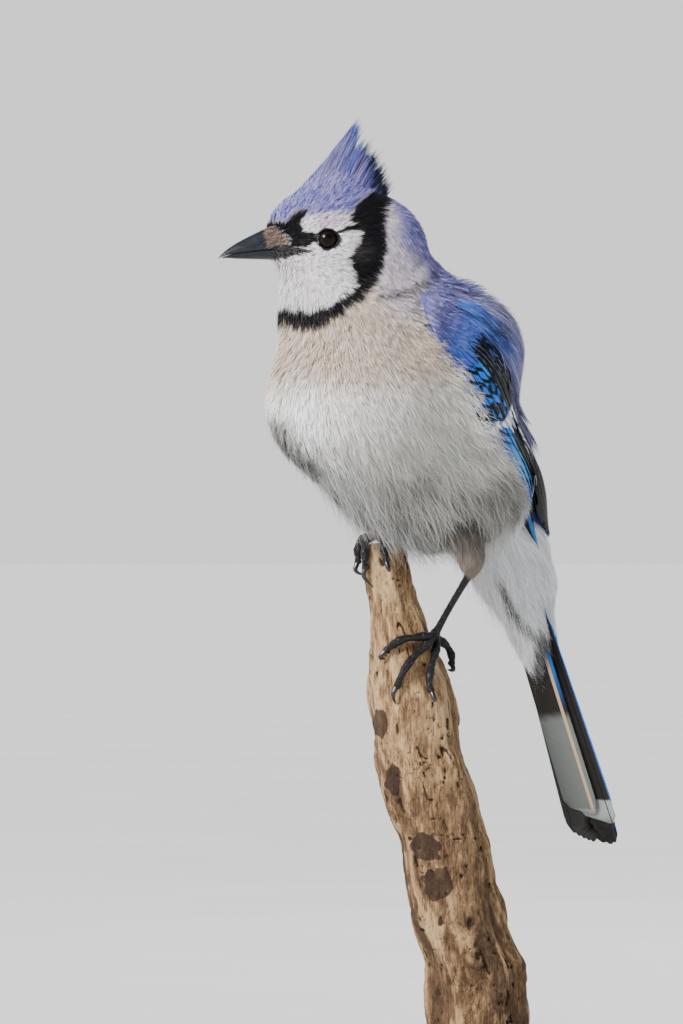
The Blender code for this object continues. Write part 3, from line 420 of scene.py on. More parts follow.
class Finish:
    """A material with one Principled shader, made node by node."""

    def __init__(self, name, **sockets):
        self.material = bpy.data.materials.new(name)
        self.material.use_nodes = True
        self.tree = self.material.node_tree
        self.shader = self.tree.nodes["Principled BSDF"]
        for key, value in sockets.items():
            self.feed(self.shader.inputs[key.replace("_", " ")], value)

    def feed(self, socket, value):
        """Sets a socket to a value or links it."""
        if isinstance(value, Amount):
            self.tree.links.new(value.socket, socket)
        elif isinstance(value, bpy.types.NodeSocket):
            self.tree.links.new(value, socket)
        elif isinstance(value, (tuple, list)) and len(value) == 3 and socket.type == "RGBA":
            socket.default_value = (*value, 1)
        else:
            socket.default_value = value

    def node(self, kind, settings=None, inputs=None):
        """A node of a type, its settings made first and then its sockets."""
        made = self.tree.nodes.new("ShaderNode" + kind)
        for key, value in (settings or {}).items():
            if key == "stops":
                ramp = made.color_ramp
                while len(ramp.elements) < len(value):
                    ramp.elements.new(0.5)
                for element, (place, colour) in zip(ramp.elements, value):
                    element.position = place
                    element.color = (*colour, 1)
            else:
                setattr(made, key, value)
        for key, value in (inputs or {}).items():
            self.feed(made.inputs[key], value)
        return made

    def number(self, kind, settings=None, inputs=None, output=0):
        """A node whose output is used as a number."""
        return Amount(self, self.node(kind, settings, inputs).outputs[output])

    def stored(self, name):
        """A number kept on the mesh."""
        return self.number("Attribute", {"attribute_name": name}, output="Fac")

    def place(self):
        """The point's place on the object."""
        return self.node("TexCoord").outputs["Object"]

    def stretched(self, x=1.0, y=1.0, z=1.0):
        """The point's place with each axis scaled."""
        sockets = {0: self.place(), 1: (x, y, z)}
        return self.node("VectorMath", {"operation": "MULTIPLY"}, sockets).outputs[0]

    def made_place(self, x, y, z=0.0):
        """A place from three numbers."""
        return self.node("CombineXYZ", inputs={0: x, 1: y, 2: z}).outputs[0]

    def noise(self, scale, detail=2.0, rough=0.5, where=None, warp=0.0):
        """Noise from 0 to 1, on the object's place unless another is given."""
        inputs = {
            "Vector": where or self.place(),
            "Scale": scale,
            "Detail": detail,
            "Roughness": rough,
            "Distortion": warp,
        }
        return self.number("TexNoise", None, inputs, output=0)

    def mix(self, share, first, second, blend="MIX"):
        """A colour from first to second."""
        made = self.node("Mix", {"data_type": "RGBA", "blend_type": blend}, {0: share, 6: first, 7: second})
        return made.outputs[2]

    def ramp(self, share, stops):
        """A colour from a list of (place, colour)."""
        return self.node("ValToRGB", {"stops": stops}, {0: share}).outputs[0]

    def bump(self, height, distance, strength=1.0, under=None):
        """Feeds the shader's normal from a height in units of the distance, in metres."""
        inputs = {"Height": height, "Distance": distance, "Strength": strength}
        if under is not None:
            inputs["Normal"] = under
        made = self.node("Bump", None, inputs).outputs[0]
        self.feed(self.shader.inputs["Normal"], made)
        return made

    def colour(self, value):
        """Sets the shader's base colour."""
        self.feed(self.shader.inputs["Base Color"], value)

    def roughness(self, value):
        """Sets the shader's roughness."""
        self.feed(self.shader.inputs["Roughness"], value)


# The coat's colours, as light reflected
WHITE_DOWN = (0.90, 0.91, 0.92)
BUFF_GREY = (0.59, 0.485, 0.40)
FLANK_GREY = (0.54, 0.54, 0.505)
LAVENDER = (0.555, 0.495, 0.58)
VIOLET_BLUE = (0.105, 0.105, 0.38)
DEEP_VIOLET = (0.04, 0.042, 0.18)
PALE_VIOLET = (0.25, 0.25, 0.53)
LILAC = (0.275, 0.25, 0.50)
CLEAR_BLUE = (0.032, 0.115, 0.48)
BLACK_FEATHER = (0.0035, 0.0035, 0.005)
TAN_BRISTLE = (0.19, 0.128, 0.098)
THIGH_BROWN = (0.27, 0.222, 0.19)
DUSKY_ROOT = (0.05, 0.05, 0.057)
# Painted shade, laid over the coat by its mark
PAINTED_SHADE = (0.055, 0.055, 0.05)


def coat_finish(name, rooted=True):
    """Feathers coloured by the marks stored on them, duskier at their roots."""
    made = Finish(name, Roughness=0.62, Sheen_Weight=0.08, Sheen_Roughness=0.5, Specular_IOR_Level=0.12)
    barb = made.stored("barb")
    tuft = made.stored("tuft")
    patchy = made.noise(90.0, 3.0, 0.6)
    blue_share = (patchy * 1.1 + barb * 0.55 + made.stored("clear") * 0.9 - 0.55).step(0.1, 0.95)
    blues = made.mix(blue_share, VIOLET_BLUE, CLEAR_BLUE)
    blues = made.mix((tuft * 0.5 + barb * 0.6).step(0.55, 1.05) * 0.75, blues, PALE_VIOLET)
    blues = made.mix((made.stored("lilac") + (tuft - 0.5) * 0.5).step(0.1, 0.9), blues, LILAC)
    blues = made.mix((barb * 0.7 + patchy * 0.7).step(0.62, 0.28) * 0.6, blues, DEEP_VIOLET)
    colour = made.mix(made.stored("buff"), WHITE_DOWN, BUFF_GREY)
    colour = made.mix(made.stored("grey"), colour, FLANK_GREY)
    colour = made.mix(made.stored("lavender"), colour, LAVENDER)
    colour = made.mix(made.stored("blue"), colour, blues)
    colour = made.mix(made.stored("tan"), colour, TAN_BRISTLE)
    colour = made.mix(made.stored("thigh"), colour, THIGH_BROWN)
    # Painted shade under the belly, in the tail's parting, in the neck's fold and at the thigh's top, with random
    # darker thigh tufts
    colour = made.mix(made.stored("dusk"), colour, PAINTED_SHADE)
    colour = made.mix(made.stored("black"), colour, BLACK_FEATHER)
    if rooted:
        root = (made.stored("reach") + barb * 0.12).step(0.42, 0.02) * (0.55 - made.stored("silk") * 0.45)
        colour = made.mix(root, colour, DUSKY_ROOT)
    shade = barb * 0.40 + tuft * 0.24 + 0.68
    colour = made.mix(1.0, colour, made.made_place(shade, shade, shade), "MULTIPLY")
    made.colour(colour)
    made.roughness(made.stored("black") * -0.22 + 0.64 - made.stored("blue") * 0.1)
    return made.material


# Marks of the head as outlines in (forward, up), seen from the side
SIDE_SHIFT = 0.213
BLACK_BAND = [
    (-7.6, 9.9),
    (-6.0, 5.2),
    (-10.2, 2.2),
    (-9.6, -1.4),
    (-5.2, -8.3),
    (-6.4, -12.6),
    (-7.8, -18.0),
    (-2.9, -22.0),
    (2.9, -24.8),
    (11.0, -26.8),
    (17.0, -25.6),
    (30.0, -22.5),
    (30.0, -29.4),
    (19.5, -31.0),
    (13.5, -33.4),
    (6.5, -32.8),
    (-1.5, -28.4),
    (-10.3, -22.2),
    (-14.2, -18.0),
    (-16.6, -12.6),
    (-18.6, -5.4),
    (-18.8, 1.8),
    (-20.2, 8.0),
    (-21.4, 12.0),
    (-22.0, 17.0),
    (-21.6, 24.0),
    (-17.0, 25.0),
    (-15.0, 15.6),
    (-10.4, 12.4),
]
LORE = [
    (30.0, 7.4),
    (21.4, 6.6),
    (17.0, 6.4),
    (14.6, 9.0),
    (10.6, 10.4),
    (8.4, 10.2),
    (10.2, 8.2),
    (11.8, 5.4),
    (10.6, 2.6),
    (6.8, 1.6),
    (6.0, -1.6),
    (9.0, -3.2),
    (14.8, -3.4),
    (21.0, -3.2),
    (30.0, -3.0),
]
FACE = [
    (40.0, 9.0),
    (14.0, 9.0),
    (-2.0, 11.0),
    (-8.0, 9.8),
    (-6.4, 5.2),
    (-10.6, 2.2),
    (-10.0, -1.4),
    (-6.0, -8.3),
    (-7.0, -12.6),
    (-8.4, -18.4),
    (-3.4, -22.8),
    (2.9, -26.2),
    (11.0, -28.4),
    (17.0, -27.8),
    (40.0, -26.0),
]
CROWN = [
    (26.0, 7.0),
    (20.5, 6.2),
    (16.6, 5.4),
    (14.4, 7.8),
    (10.6, 8.0),
    (5.5, 8.5),
    (-1.8, 9.2),
    (-7.0, 8.4),
    (-11.0, 11.0),
    (-17.0, 17.0),
    (-22.0, 24.0),
    (-40.0, 22.0),
    (-40.0, 60.0),
    (26.0, 60.0),
]
NOSE_TUFT = [(28.0, 1.0), (26.5, 2.8), (22.4, 3.8), (19.0, 2.4), (16.2, -0.4), (16.2, -1.8), (21.3, -2.2), (25.5, -0.6)]
TAIL_PARTING = [(14.5, 179.5), (18.6, 169.5), (22.5, 164.0), (27.6, 161.2), (22.9, 164.6), (19.1, 169.9)]
TAIL_SHADE = [(28.8, 162.6), (36.0, 160.4), (42.0, 150.0), (42.0, 138.0), (30.0, 138.0), (26.6, 146.4), (27.0, 155.0)]
NECK_FOLD = [(-28.5, 281.6), (-20.0, 283.2), (-13.0, 287.2), (-20.0, 283.6)]
GAPE = [(26.0, -1.4), (17.0, -2.4), (12.0, -3.6), (8.2, -4.9), (7.8, -5.8), (12.5, -6.0), (16.5, -6.8), (26.0, -8.4)]
EYE_LINE = [(0.4, 1.2), (-3.6, 2.6), (-7.5, 3.8), (-11.0, 3.8), (-11.0, 2.0), (-7.0, 1.8), (-2.6, 0.8)]


def outline_distance(points, outline):
    """Distance from (forward, up) points to a closed outline, negative inside."""
    corners = np.asarray(outline, float)
    nearest = np.full(len(points), 1e9)
    inside = np.zeros(len(points), bool)
    for start, end in zip(corners, np.roll(corners, -1, axis=0)):
        run = end - start
        offset = points - start
        share = np.clip(offset @ run / (run @ run), 0, 1)
        nearest = np.minimum(nearest, np.linalg.norm(offset - share[:, None] * run, axis=1))
        crosses = (start[1] > points[:, 1]) != (end[1] > points[:, 1])
        slope = run[0] / (run[1] if abs(run[1]) > 1e-9 else 1e-9)
        inside ^= crosses & (points[:, 0] < start[0] + (points[:, 1] - start[1]) * slope)
    return np.where(inside, -nearest, nearest)


def markings(points, turn):
    """How much of each colour, painted shade and painted light the coat has at world points, turn radians round from
    the belly's middle.
    """
    head = in_head(points)
    body = in_body(points)
    beside = np.abs(head[:, 1])
    seen = np.stack([head[:, 0] - SIDE_SHIFT * beside, head[:, 2]], axis=-1)
    seen = seen + 0.5 * np.stack([drift(points, 1.6, 3), drift(points, 1.6, 4)], axis=-1)
    up, forward = head[:, 2], head[:, 0]
    band = fade(0.7, -0.7, outline_distance(seen, BLACK_BAND))
    lore = fade(0.6, -0.6, outline_distance(seen, LORE))
    line = fade(0.5, -0.4, outline_distance(seen, EYE_LINE))
    crown = fade(0.9, -0.9, outline_distance(seen, CROWN))
    on_head = fade(-34, -24, up + 0.35 * forward)
    dorsal = np.abs((turn + math.pi) % (2 * math.pi) - math.pi)
    edge = 1.86 + 0.12 * drift(points, 7.0, 5) + 0.22 * fade(-30, -12, up) + 0.44 * fade(-34, -48, body[:, 2])
    back = fade(edge - 0.14, edge + 0.2, dorsal)
    low_back = fade(-20, -34, body[:, 0]) * 0.12
    back = np.clip(back + low_back * fade(1.4, 2.0, dorsal), 0, 1)
    face = fade(0.8, -0.8, outline_distance(seen, FACE))
    nape = back * (1 - face)
    blue = np.maximum(crown, nape) * (1 - np.maximum(band, lore))
    black = np.maximum(np.maximum(band, lore), line)
    # A painted sheen: the black band thins a little at the cheek and lets the paler colour through
    painted_sheen = np.exp(-(((seen[:, 0] + 9.5) / 4.2) ** 2) - (((seen[:, 1] + 6.5) / 3.4) ** 2))
    black = black * (1 - 0.04 * painted_sheen)
    neck = fade(-40, -20, up) * fade(0.9, 1.5, dorsal) * (1 - face)
    height = points[:, 2]
    chest = fade(243, 263, height + 5 * drift(points, 16, 8)) * (1 - face)
    flank = fade(4, 24, np.abs(body[:, 1]) + 6 * drift(points, 9, 6)) * fade(290, 250, height)
    vent = fade(-26, -40, body[:, 0]) * fade(-20, -34, body[:, 2])
    belly = fade(2, -24, body[:, 2] + 4 * drift(points, 10, 7)) * (1 - vent)
    # A whiter band across the front of the breast: partly the breast's own white, partly painted light where the light
    # falls
    breast_white_and_painted_light = np.exp(-(((height - 243) / 13) ** 2)) * fade(1.3, 0.5, dorsal)
    brow = fade(8, 3, np.hypot(seen[:, 0] - 1.0, (seen[:, 1] - 7.5) * 1.5))
    # Painted shade in the groove of the gape, a thin dark line back from the corner of the bill
    gape = fade(0.35, -0.3, outline_distance(seen, GAPE))
    chaps = np.exp(-(((seen[:, 0] - 12.5) / 6.0) ** 2) - (((seen[:, 1] + 9.0) / 4.5) ** 2))
    black = np.maximum(black, 0.95 * gape)
    grey = 0.18 + 0.5 * flank + 0.5 * belly + 0.25 * drift(points, 12, 9)
    # Painted shade: a thin dark line parts the two lobes of the feathers under the tail
    parting = outline_distance(np.stack([points[:, 0], points[:, 2]], axis=-1), TAIL_PARTING)
    parting = fade(2.0, 0.5, np.abs(parting) + 0.5 * drift(points, 3.0, 31)) * vent * (points[:, 1] < 28)
    flat = np.stack([points[:, 0], points[:, 2]], axis=-1)
    # Partly the tail's dark base and partly painted shadow where it lies under the lobes
    root = fade(1.0, -1.0, outline_distance(flat, TAIL_SHADE) + 0.6 * drift(points, 3.0, 33)) * vent * (dorsal < 2.0)
    # Painted shade in the crease of the neck's fold
    fold = fade(2.6, 0.2, np.abs(outline_distance(flat, NECK_FOLD)) + 0.6 * drift(points, 3.0, 34)) * (points[:, 1] < -5)
    parting = np.maximum(parting, root * 1.3)
    tuft = fade(0.8, -0.6, outline_distance(seen, NOSE_TUFT))
    black = black * (1 - tuft)
    # Painted shade under the belly
    under = fade(-15, -31, body[:, 2] + 4 * drift(points, 7, 32)) * (1 - vent)
    # Painted shade: the belly's lower front edge lies in its own shade
    inward = (points[:, 0] + 68) * 0.79 + (height - 232) * 0.614 + 2.5 * drift(points, 6, 35)
    shade = np.maximum(fade(13, 2, inward), fade(213, 200, height) * fade(6, -8, points[:, 0])) * fade(246, 234, height)
    under = np.maximum(0.8 * under, shade * (1 - vent))
    return {
        "blue": np.maximum(blue, 0.06 * vent),
        # Painted shade under the belly, in the tail's parting and shade, and in the neck's fold
        "dusk": np.clip(0.9 * under + 0.95 * parting + 0.6 * fold, 0, 0.95),
        "silk": np.clip(vent + 0.45 * belly + 0.4 * face, 0, 1),
        "lilac": np.clip(0.60 * crown + 0.4 * drift(points, 2.2, 10) * crown + 0.5 * nape, 0, 1),
        "black": np.clip(black, 0, 1),
        "lavender": np.clip(neck * 0.9 + brow * 0.85 + 0.46 * face, 0, 1),
        "buff": np.clip(chest * 0.95 * (1 - neck) + 0.35 * flank * (1 - vent) + 0.5 * chaps, 0, 1),
        "grey": np.clip(grey, 0, 1) * (1 - 0.45 * face) * (1 - 0.75 * vent) * (1 - 0.85 * breast_white_and_painted_light) * (1 - 0.6 * chest),
        "clear": np.clip(fade(10, 34, up + 0.2 * -forward) * 0.25 + fade(-10, -45, up) * 0.55, 0, 1),
        "tan": tuft,
        "thigh": np.zeros(len(points)),
    }


# The coat's surface as a grid of rings, the plan that the skin, the tufts and their bake map share
RINGS = 190
SIDES = 132


def coat_grid():
    """Points and outward normals of the coat's surface by ring and side."""
    spine = smooth_path(SPINE, RINGS)
    turns = np.arange(SIDES) / SIDES * 2 * math.pi
    tilt = np.radians(spine[:, 2])
    centres = from_body(np.stack([spine[:, 0], np.zeros(RINGS), spine[:, 1]], axis=-1))
    front = np.sin(tilt)[:, None] * BODY[0] - np.cos(tilt)[:, None] * BODY[2]
    spread = np.cos(turns)[None, :, None] * front[:, None] + np.sin(turns)[None, :, None] * BODY[1]
    starts = np.repeat(centres, SIDES, axis=0)
    points = surface_from(starts, spread.reshape(-1, 3))
    return points.reshape(RINGS, SIDES, 3), coat_normal(points).reshape(RINGS, SIDES, 3), centres


COAT, COAT_OUT, SPINE_CENTRES = coat_grid()
SPINE_RUN = unit(np.gradient(SPINE_CENTRES, axis=0))


def coat_depth(points):
    """How far the skin lies under the coat's surface."""
    head = in_head(points)
    body = in_body(points)
    on_head = fade(-30, -12, head[:, 2])
    at_face = on_head * fade(-4, 12, head[:, 0])
    depth = 3.0 * (1 - on_head) + 1.7 * on_head
    depth = depth * (1 - at_face) + 0.75 * at_face
    in_crest = fade(17, 26, head[:, 2])
    depth = depth + 1.2 * in_crest
    under_tail = fade(-46, -60, body[:, 2]) * fade(-30, -50, body[:, 0])
    return depth * (1 - 0.35 * under_tail)


def bake_place(ring, side):
    """Where a ring and side lie on the unwrapped skin."""
    return np.stack([0.02 + 0.96 * np.asarray(side) / SIDES, 0.02 + 0.96 * np.asarray(ring) / (RINGS - 1)], axis=-1)


def on_grid(table, ring, side):
    """Values of a ring and side table between its points."""
    low = np.clip(np.floor(ring).astype(int), 0, RINGS - 2)
    left = np.floor(side).astype(int)
    up, across = (ring - low)[:, None], (side - left)[:, None]
    left, right = left % SIDES, (left + 1) % SIDES
    first = table[low, left] * (1 - across) + table[low, right] * across
    second = table[low + 1, left] * (1 - across) + table[low + 1, right] * across
    return first * (1 - up) + second * up


# Places that the coat leaves free
EYE_RADIUS = 4.2
EYE_PLACE = (5.0, -0.2)
EYE_SHIFT = np.array([0.7, 0.0, -0.8])


def eye_centre(hand):
    """World centre of an eye and the direction in which it looks."""
    inside = from_head([EYE_PLACE[0], 0, EYE_PLACE[1]])
    aim = unit(np.array([0.22, hand, 0.05]) @ HEAD)
    on_skin = surface_from(inside[None], (HEAD[1] * hand)[None])[0]
    return on_skin - aim * (EYE_RADIUS - 1.0) + EYE_SHIFT @ HEAD, aim


EYES = {hand: eye_centre(hand) for hand in (1, -1)}
BILL_ROOT = np.array([22.0, 0.0, -2.0])


def eye_gap(points):
    """Distance from points to the middle of the nearer eye's opening."""
    gaps = [np.linalg.norm(points - (centre + aim * 3.2), axis=-1) for centre, aim in EYES.values()]
    return np.minimum(*gaps)


def lie(points, outward, ring):
    """The direction in which feathers lie at points of the coat."""
    head = in_head(points)
    body = in_body(points)
    run = -np.stack([np.interp(ring, np.arange(RINGS), SPINE_RUN[:, k]) for k in range(3)], axis=-1)
    run = run + 0.25 * BODY[1] * np.sign(body[:, 1:2]) * fade(6, 26, np.abs(body[:, 1:2])) * fade(40, 10, body[:, 2:3])
    sweep = unit(head - BILL_ROOT)
    crown = fade(6, 15, head[:, 2]) * fade(-16, -4, head[:, 0])
    to_crest = np.array([-0.62, 0.0, 0.78])
    sweep = sweep * (1 - crown[:, None]) + to_crest * crown[:, None]
    behind = fade(-6, -15, head[:, 0]) * fade(14, 2, head[:, 2])
    sweep = sweep + np.array([0.1, 0.0, -1.2]) * behind[:, None]
    below = fade(-8, -20, head[:, 2])
    sweep = sweep + np.array([-0.1, 0.0, -0.8]) * below[:, None]
    on_head = fade(-32, -20, head[:, 2])[:, None]
    flow = unit(sweep @ HEAD) * on_head + run * (1 - on_head)
    return unit(flow - outward * np.sum(flow * outward, axis=-1, keepdims=True))


def tuft_paths(roots, outward, direction, length, depth, proud, droop=0.0, cover=None, stations=5):
    """Middle lines of feathers that start in the skin, follow the coat and end a little proud of it.

    cover gives the height of what else lies on the coat, such as the wing, which the feathers pass over.
    """
    points = [roots]
    normals = [outward]
    here, way, normal = roots, direction, outward
    for step in range(1, stations):
        share = step / (stations - 1)
        here = here + way * (length / (stations - 1))[:, None]
        height = -depth + (depth + proud) * share**0.85
        if cover is not None:
            height = height + cover(here) * min(1.0, share * 1.6)
        for _ in range(2):
            normal = coat_normal(here)
            here = here + normal * (height - coat_distance(here))[:, None]
        pull = way + np.array([0, 0, -1.0]) * (np.broadcast_to(droop, length.shape) * share)[:, None]
        way = unit(pull - normal * np.sum(pull * normal, axis=-1, keepdims=True))
        points.append(here)
        normals.append(normal)
    return np.stack(points, axis=1), np.stack(normals, axis=1)


def read_path(path, share):
    """Values along each feather's stations at shares of its length. path is (feathers, stations, 3)."""
    last = path.shape[1] - 1
    where = np.clip(share, 0, 1) * last
    low = np.minimum(where.astype(int), last - 1)
    part = (where - low)[..., None]
    index = np.arange(len(path)).reshape((-1,) + (1,) * (share.ndim - 1))
    return path[index, low] * (1 - part) + path[index, low + 1] * part


BARB_STEPS = np.array([0.0, 0.36, 0.72, 1.0])
BARB_TAPER = np.array([1.0, 0.9, 0.62])


def barbed(paths, normals, half_width, barbs, thick, marks, place, chance, loose=0.1, arch=0.2, spread=1.0):
    """Feathers as fans of thin tapering barbs along their middle lines, as points, faces, numbers and places."""
    count = len(paths)
    run = unit(np.gradient(paths, axis=1))
    sides = unit(np.cross(normals, run))
    across = np.linspace(-1, 1, barbs)[None] + chance.normal(0, 0.5 / barbs, (count, barbs))
    across = np.clip(across, -1.1, 1.1)
    first = 0.02 + 0.5 * (1 - np.abs(across)) * chance.random((count, barbs))
    final = 1.0 - 0.36 * across**2 - loose * chance.random((count, barbs))
    share = first[..., None] + (final - first)[..., None] * BARB_STEPS
    middle = read_path(paths, share)
    side = unit(read_path(sides, share))
    up = unit(read_path(normals, share))
    wide = np.asarray(half_width)[:, None, None]
    opening = 1 - (1 - BARB_STEPS * spread) ** 2
    offset = wide * across[..., None] * opening
    stray = chance.normal(0, 1, (count, barbs))[..., None] * BARB_STEPS**2 * loose * wide * 1.2
    lift = -arch * wide * across[..., None] ** 2 * opening
    lift = lift + chance.normal(0, 0.12, (count, barbs))[..., None] * BARB_STEPS
    centre = middle + side * (offset + stray)[..., None] + up * lift[..., None]
    roll = chance.normal(0, 0.42, (count, barbs))[..., None, None]
    edge = side * np.cos(roll) + up * np.sin(roll)
    size = np.broadcast_to(np.asarray(thick, float).reshape(-1, 1), (count, barbs)) * (
        0.75 + 0.5 * chance.random((count, barbs))
    )
    half = (size[..., None] * BARB_TAPER / 2)[..., None]
    left = centre[:, :, :3] - edge[:, :, :3] * half
    right = centre[:, :, :3] + edge[:, :, :3] * half
    body = np.stack([left, right], axis=3).reshape(count, barbs, 6, 3)
    points = np.concatenate([body, centre[:, :, 3:]], axis=2).reshape(-1, 3)
    start = np.arange(count * barbs)[:, None] * 7
    quads = np.concatenate([start + [0, 1, 3, 2], start + [2, 3, 5, 4]])
    triangles = start + [4, 5, 6]
    reach = np.concatenate([np.repeat(share[..., :3], 2, axis=-1), share[..., 3:]], axis=-1).reshape(-1)
    numbers = {
        "reach": reach,
        "barb": np.repeat(chance.random(count * barbs), 7),
        "tuft": np.repeat(chance.random(count), barbs * 7),
    }
    if callable(marks):
        marks = marks(centre[:, :, 2].reshape(-1, 3), np.repeat(np.arange(count), barbs))
    for key, values in marks.items():
        values = np.asarray(values, float)
        each = values if values.size == count * barbs else np.repeat(values, barbs)
        numbers[key] = np.repeat(each.reshape(-1), 7)
    spot = np.repeat(place, barbs * 7, axis=0)
    shift = np.stack([np.repeat(across.reshape(-1), 7) / 1.1, reach * 2 - 1], axis=-1) * PATCH / 2
    return points, [quads, triangles], numbers, spot + shift, centre


PATCH = 0.003


def add_coat(name, finish, parts):
    """Joins the arrays of several sets of tufts into one piece of the coat."""
    points, quads, triangles, places = [], [], [], []
    numbers = {}
    first = 0
    for part_points, (part_quads, part_triangles), part_numbers, part_places, _ in parts:
        points.append(part_points)
        quads.append(part_quads + first)
        triangles.append(part_triangles + first)
        places.append(part_places)
        for key, values in part_numbers.items():
            numbers.setdefault(key, []).append(values)
        first += len(part_points)
    numbers = {key: np.concatenate(values) for key, values in numbers.items()}
    faces = [np.vstack(quads), np.vstack(triangles)]
    return mesh_piece(name, np.vstack(points), faces, finish, numbers, np.vstack(places))


# The folded wings

WING_LEAD = [(20, 33, 38), (12, 38, 26), (0, 38, 11), (-12, 36, -6), (-26, 28, -24), (-41, 20, -40), (-60, 10, -62)]
WING_BACK = [(6, 20, 50), (-10, 22, 40), (-26, 18, 24), (-39, 13, 4), (-50, 11, -16), (-56, 8, -38), (-65, 5, -60)]
WING_EDGES = [smooth_path(edge, 101) for edge in (WING_LEAD, WING_BACK)]


def wing_point(hand, along, across, lift):
    """World points and outward normals on the folded wing. along runs wrist to tip, across lead to back."""
    along = np.atleast_1d(np.asarray(along, float))
    across = np.broadcast_to(np.asarray(across, float), along.shape)
    lift = np.broadcast_to(np.asarray(lift, float), along.shape)
    where = np.clip(along, 0, 1) * 100

    def read(path):
        return np.stack([np.interp(where, np.arange(101), path[:, k]) for k in range(3)], axis=-1)

    local = read(WING_EDGES[0]) * (1 - across[:, None]) + read(WING_EDGES[1]) * across[:, None]
    local[:, 1] *= hand
    points = from_body(local)
    hold = np.clip((0.78 - along) / 0.2, 0, 1)[:, None]
    for _ in range(6):
        normal = coat_normal(points)
        points = points - normal * coat_distance(points)[:, None] * hold
    far = unit(from_body([[-67, 4 * hand, -50]]) - from_body([[-55, 0, -56]]))
    normal = unit(coat_normal(points) * hold + far * (1 - hold) + 1e-6)
    return points + normal * lift[:, None], normal


def wing_plan():
    """Places all over both wings, to find where a point of the coat lies under one."""
    along, across = np.meshgrid(np.linspace(0, 1, 61), np.linspace(0, 1, 25), indexing="ij")
    along, across = along.ravel(), across.ravel()
    places = [wing_point(hand, along, across, 0.0)[0] for hand in (1, -1)]
    tree = kdtree.KDTree(len(along) * 2)
    for index, place in enumerate(np.vstack(places)):
        tree.insert(place, index)
    tree.balance()
    return tree, np.tile(along, 2), np.tile(across, 2)


WING_TREE, WING_ALONG, WING_ACROSS = wing_plan()


def wing_under(points):
    """along, across and distance of the nearest place on a wing for each point."""
    found = [WING_TREE.find(point)[1:] for point in points]
    index = np.array([item[0] for item in found])
    return WING_ALONG[index], WING_ACROSS[index], np.array([item[1] for item in found])


def wing_height(points):
    """How far the wing stands off the coat at world points, falling to nothing beyond its edge."""
    along, across, gap = wing_under(points)
    rise = np.interp(along, [0, 0.06, 0.16, 0.5, 0.8, 1.0], [1.6, 4.2, 5.9, 5.9, 4.9, 3.9])
    rim = 0.85 + 0.15 * fade(0.0, 0.16, across)
    flush = np.abs(coat_distance(points))
    beside = np.sqrt(np.maximum(gap**2 - flush**2, 0))
    return rise * rim * fade(7.5, 3.5, beside)


# Skin and body feathers


def skin_points():
    """The skin's surface: the coat's drawn in by its depth."""
    flat = COAT.reshape(-1, 3)
    outward = COAT_OUT.reshape(-1, 3)
    depth = coat_depth(flat)
    inner = flat - outward * depth[:, None]
    # The rings close on a point at both ends
    low = inner[:SIDES].mean(axis=0)
    high = inner[-SIDES:].mean(axis=0)
    return np.vstack([inner, low, high])


THIGH_HEEL = np.array([3.6, -18.6, 184.5])
THIGH_RADII = np.array([9, 8.8, 8.0, 7.0, 6.0, 4.9, 3.7, 2.5])


def thigh_path():
    """Middle line of the feathered upper leg from under the flank to the heel."""
    root = from_body([-9, 19, -24])
    return smooth_path([root, (root + THIGH_HEEL) / 2 + BODY[0] * 2.0, THIGH_HEEL], 8)


THIGH = smooth_path(thigh_path(), 60)
THIGH = THIGH + 4.0 * (np.sin(np.linspace(0, 1, 60) * math.pi) ** 0.8)[:, None] * BODY[1]


def no_marks(count):
    """A table of the coat's marks, all nothing."""
    keys = ("blue", "lilac", "dusk", "silk", "black", "lavender", "buff", "grey", "clear", "tan", "thigh")
    return {key: np.zeros(count) for key in keys}


def build_skin():
    """One skin under the whole coat, with the thigh."""
    points = skin_points()
    count = RINGS * SIDES
    quads = grid_faces(RINGS, SIDES, wrap=True)
    caps = np.vstack(
        [
            fan_faces(np.arange(SIDES), count, turned=True),
            fan_faces(np.arange(count - SIDES, count), count + 1),
        ]
    )
    ring, side = np.divmod(np.arange(count), SIDES)
    turn = side / SIDES * 2 * math.pi
    surface = np.vstack([COAT.reshape(-1, 3), COAT[0].mean(axis=0), COAT[-1].mean(axis=0)])
    marks = markings(surface, np.append(turn, [0, math.pi]))
    place = np.vstack([bake_place(ring, side), [[0.5, 0.005], [0.5, 0.995]]])
    thigh_points, thigh_quads, thigh_caps = tube(smooth_path(thigh_path(), 24), np.interp(
        np.linspace(0, 7, 24), np.arange(8), THIGH_RADII) - 1.2, 28)
    share, around = tube_numbers(24, 28)
    thigh_marks = no_marks(len(thigh_points))
    thigh_marks["thigh"] += 1
    first = len(points)
    numbers = {key: np.concatenate([marks[key], thigh_marks[key]]) for key in marks}
    numbers["barb"] = np.full(first + len(thigh_points), 0.4)
    numbers["tuft"] = numbers["barb"]
    thigh_place = np.stack([0.005 + 0.01 * around, 0.1 + 0.2 * share], axis=-1)
    return mesh_piece(
        "skin",
        np.vstack([points, thigh_points]),
        [np.vstack([quads, thigh_quads + first]), np.vstack([caps, thigh_caps + first])],
        SKIN_FINISH,
        numbers,
        np.vstack([place, thigh_place]),
    )


def scatter(density, chance):
    """Rings and sides of tuft roots spread evenly, density being roots to a square millimetre of each cell."""
    run = COAT[1:] - COAT[:-1]
    across = np.roll(COAT, -1, axis=1)[:-1] - COAT[:-1]
    area = np.linalg.norm(np.cross(run, across), axis=-1)
    wanted = np.cumsum((area * density).ravel())
    count = int(wanted[-1])
    marks = (np.arange(count) + chance.random(count)) / count * wanted[-1]
    cell = np.minimum(np.searchsorted(wanted, marks), wanted.size - 1)
    ring, side = np.divmod(cell, SIDES)
    return ring + chance.random(count), side + chance.random(count)


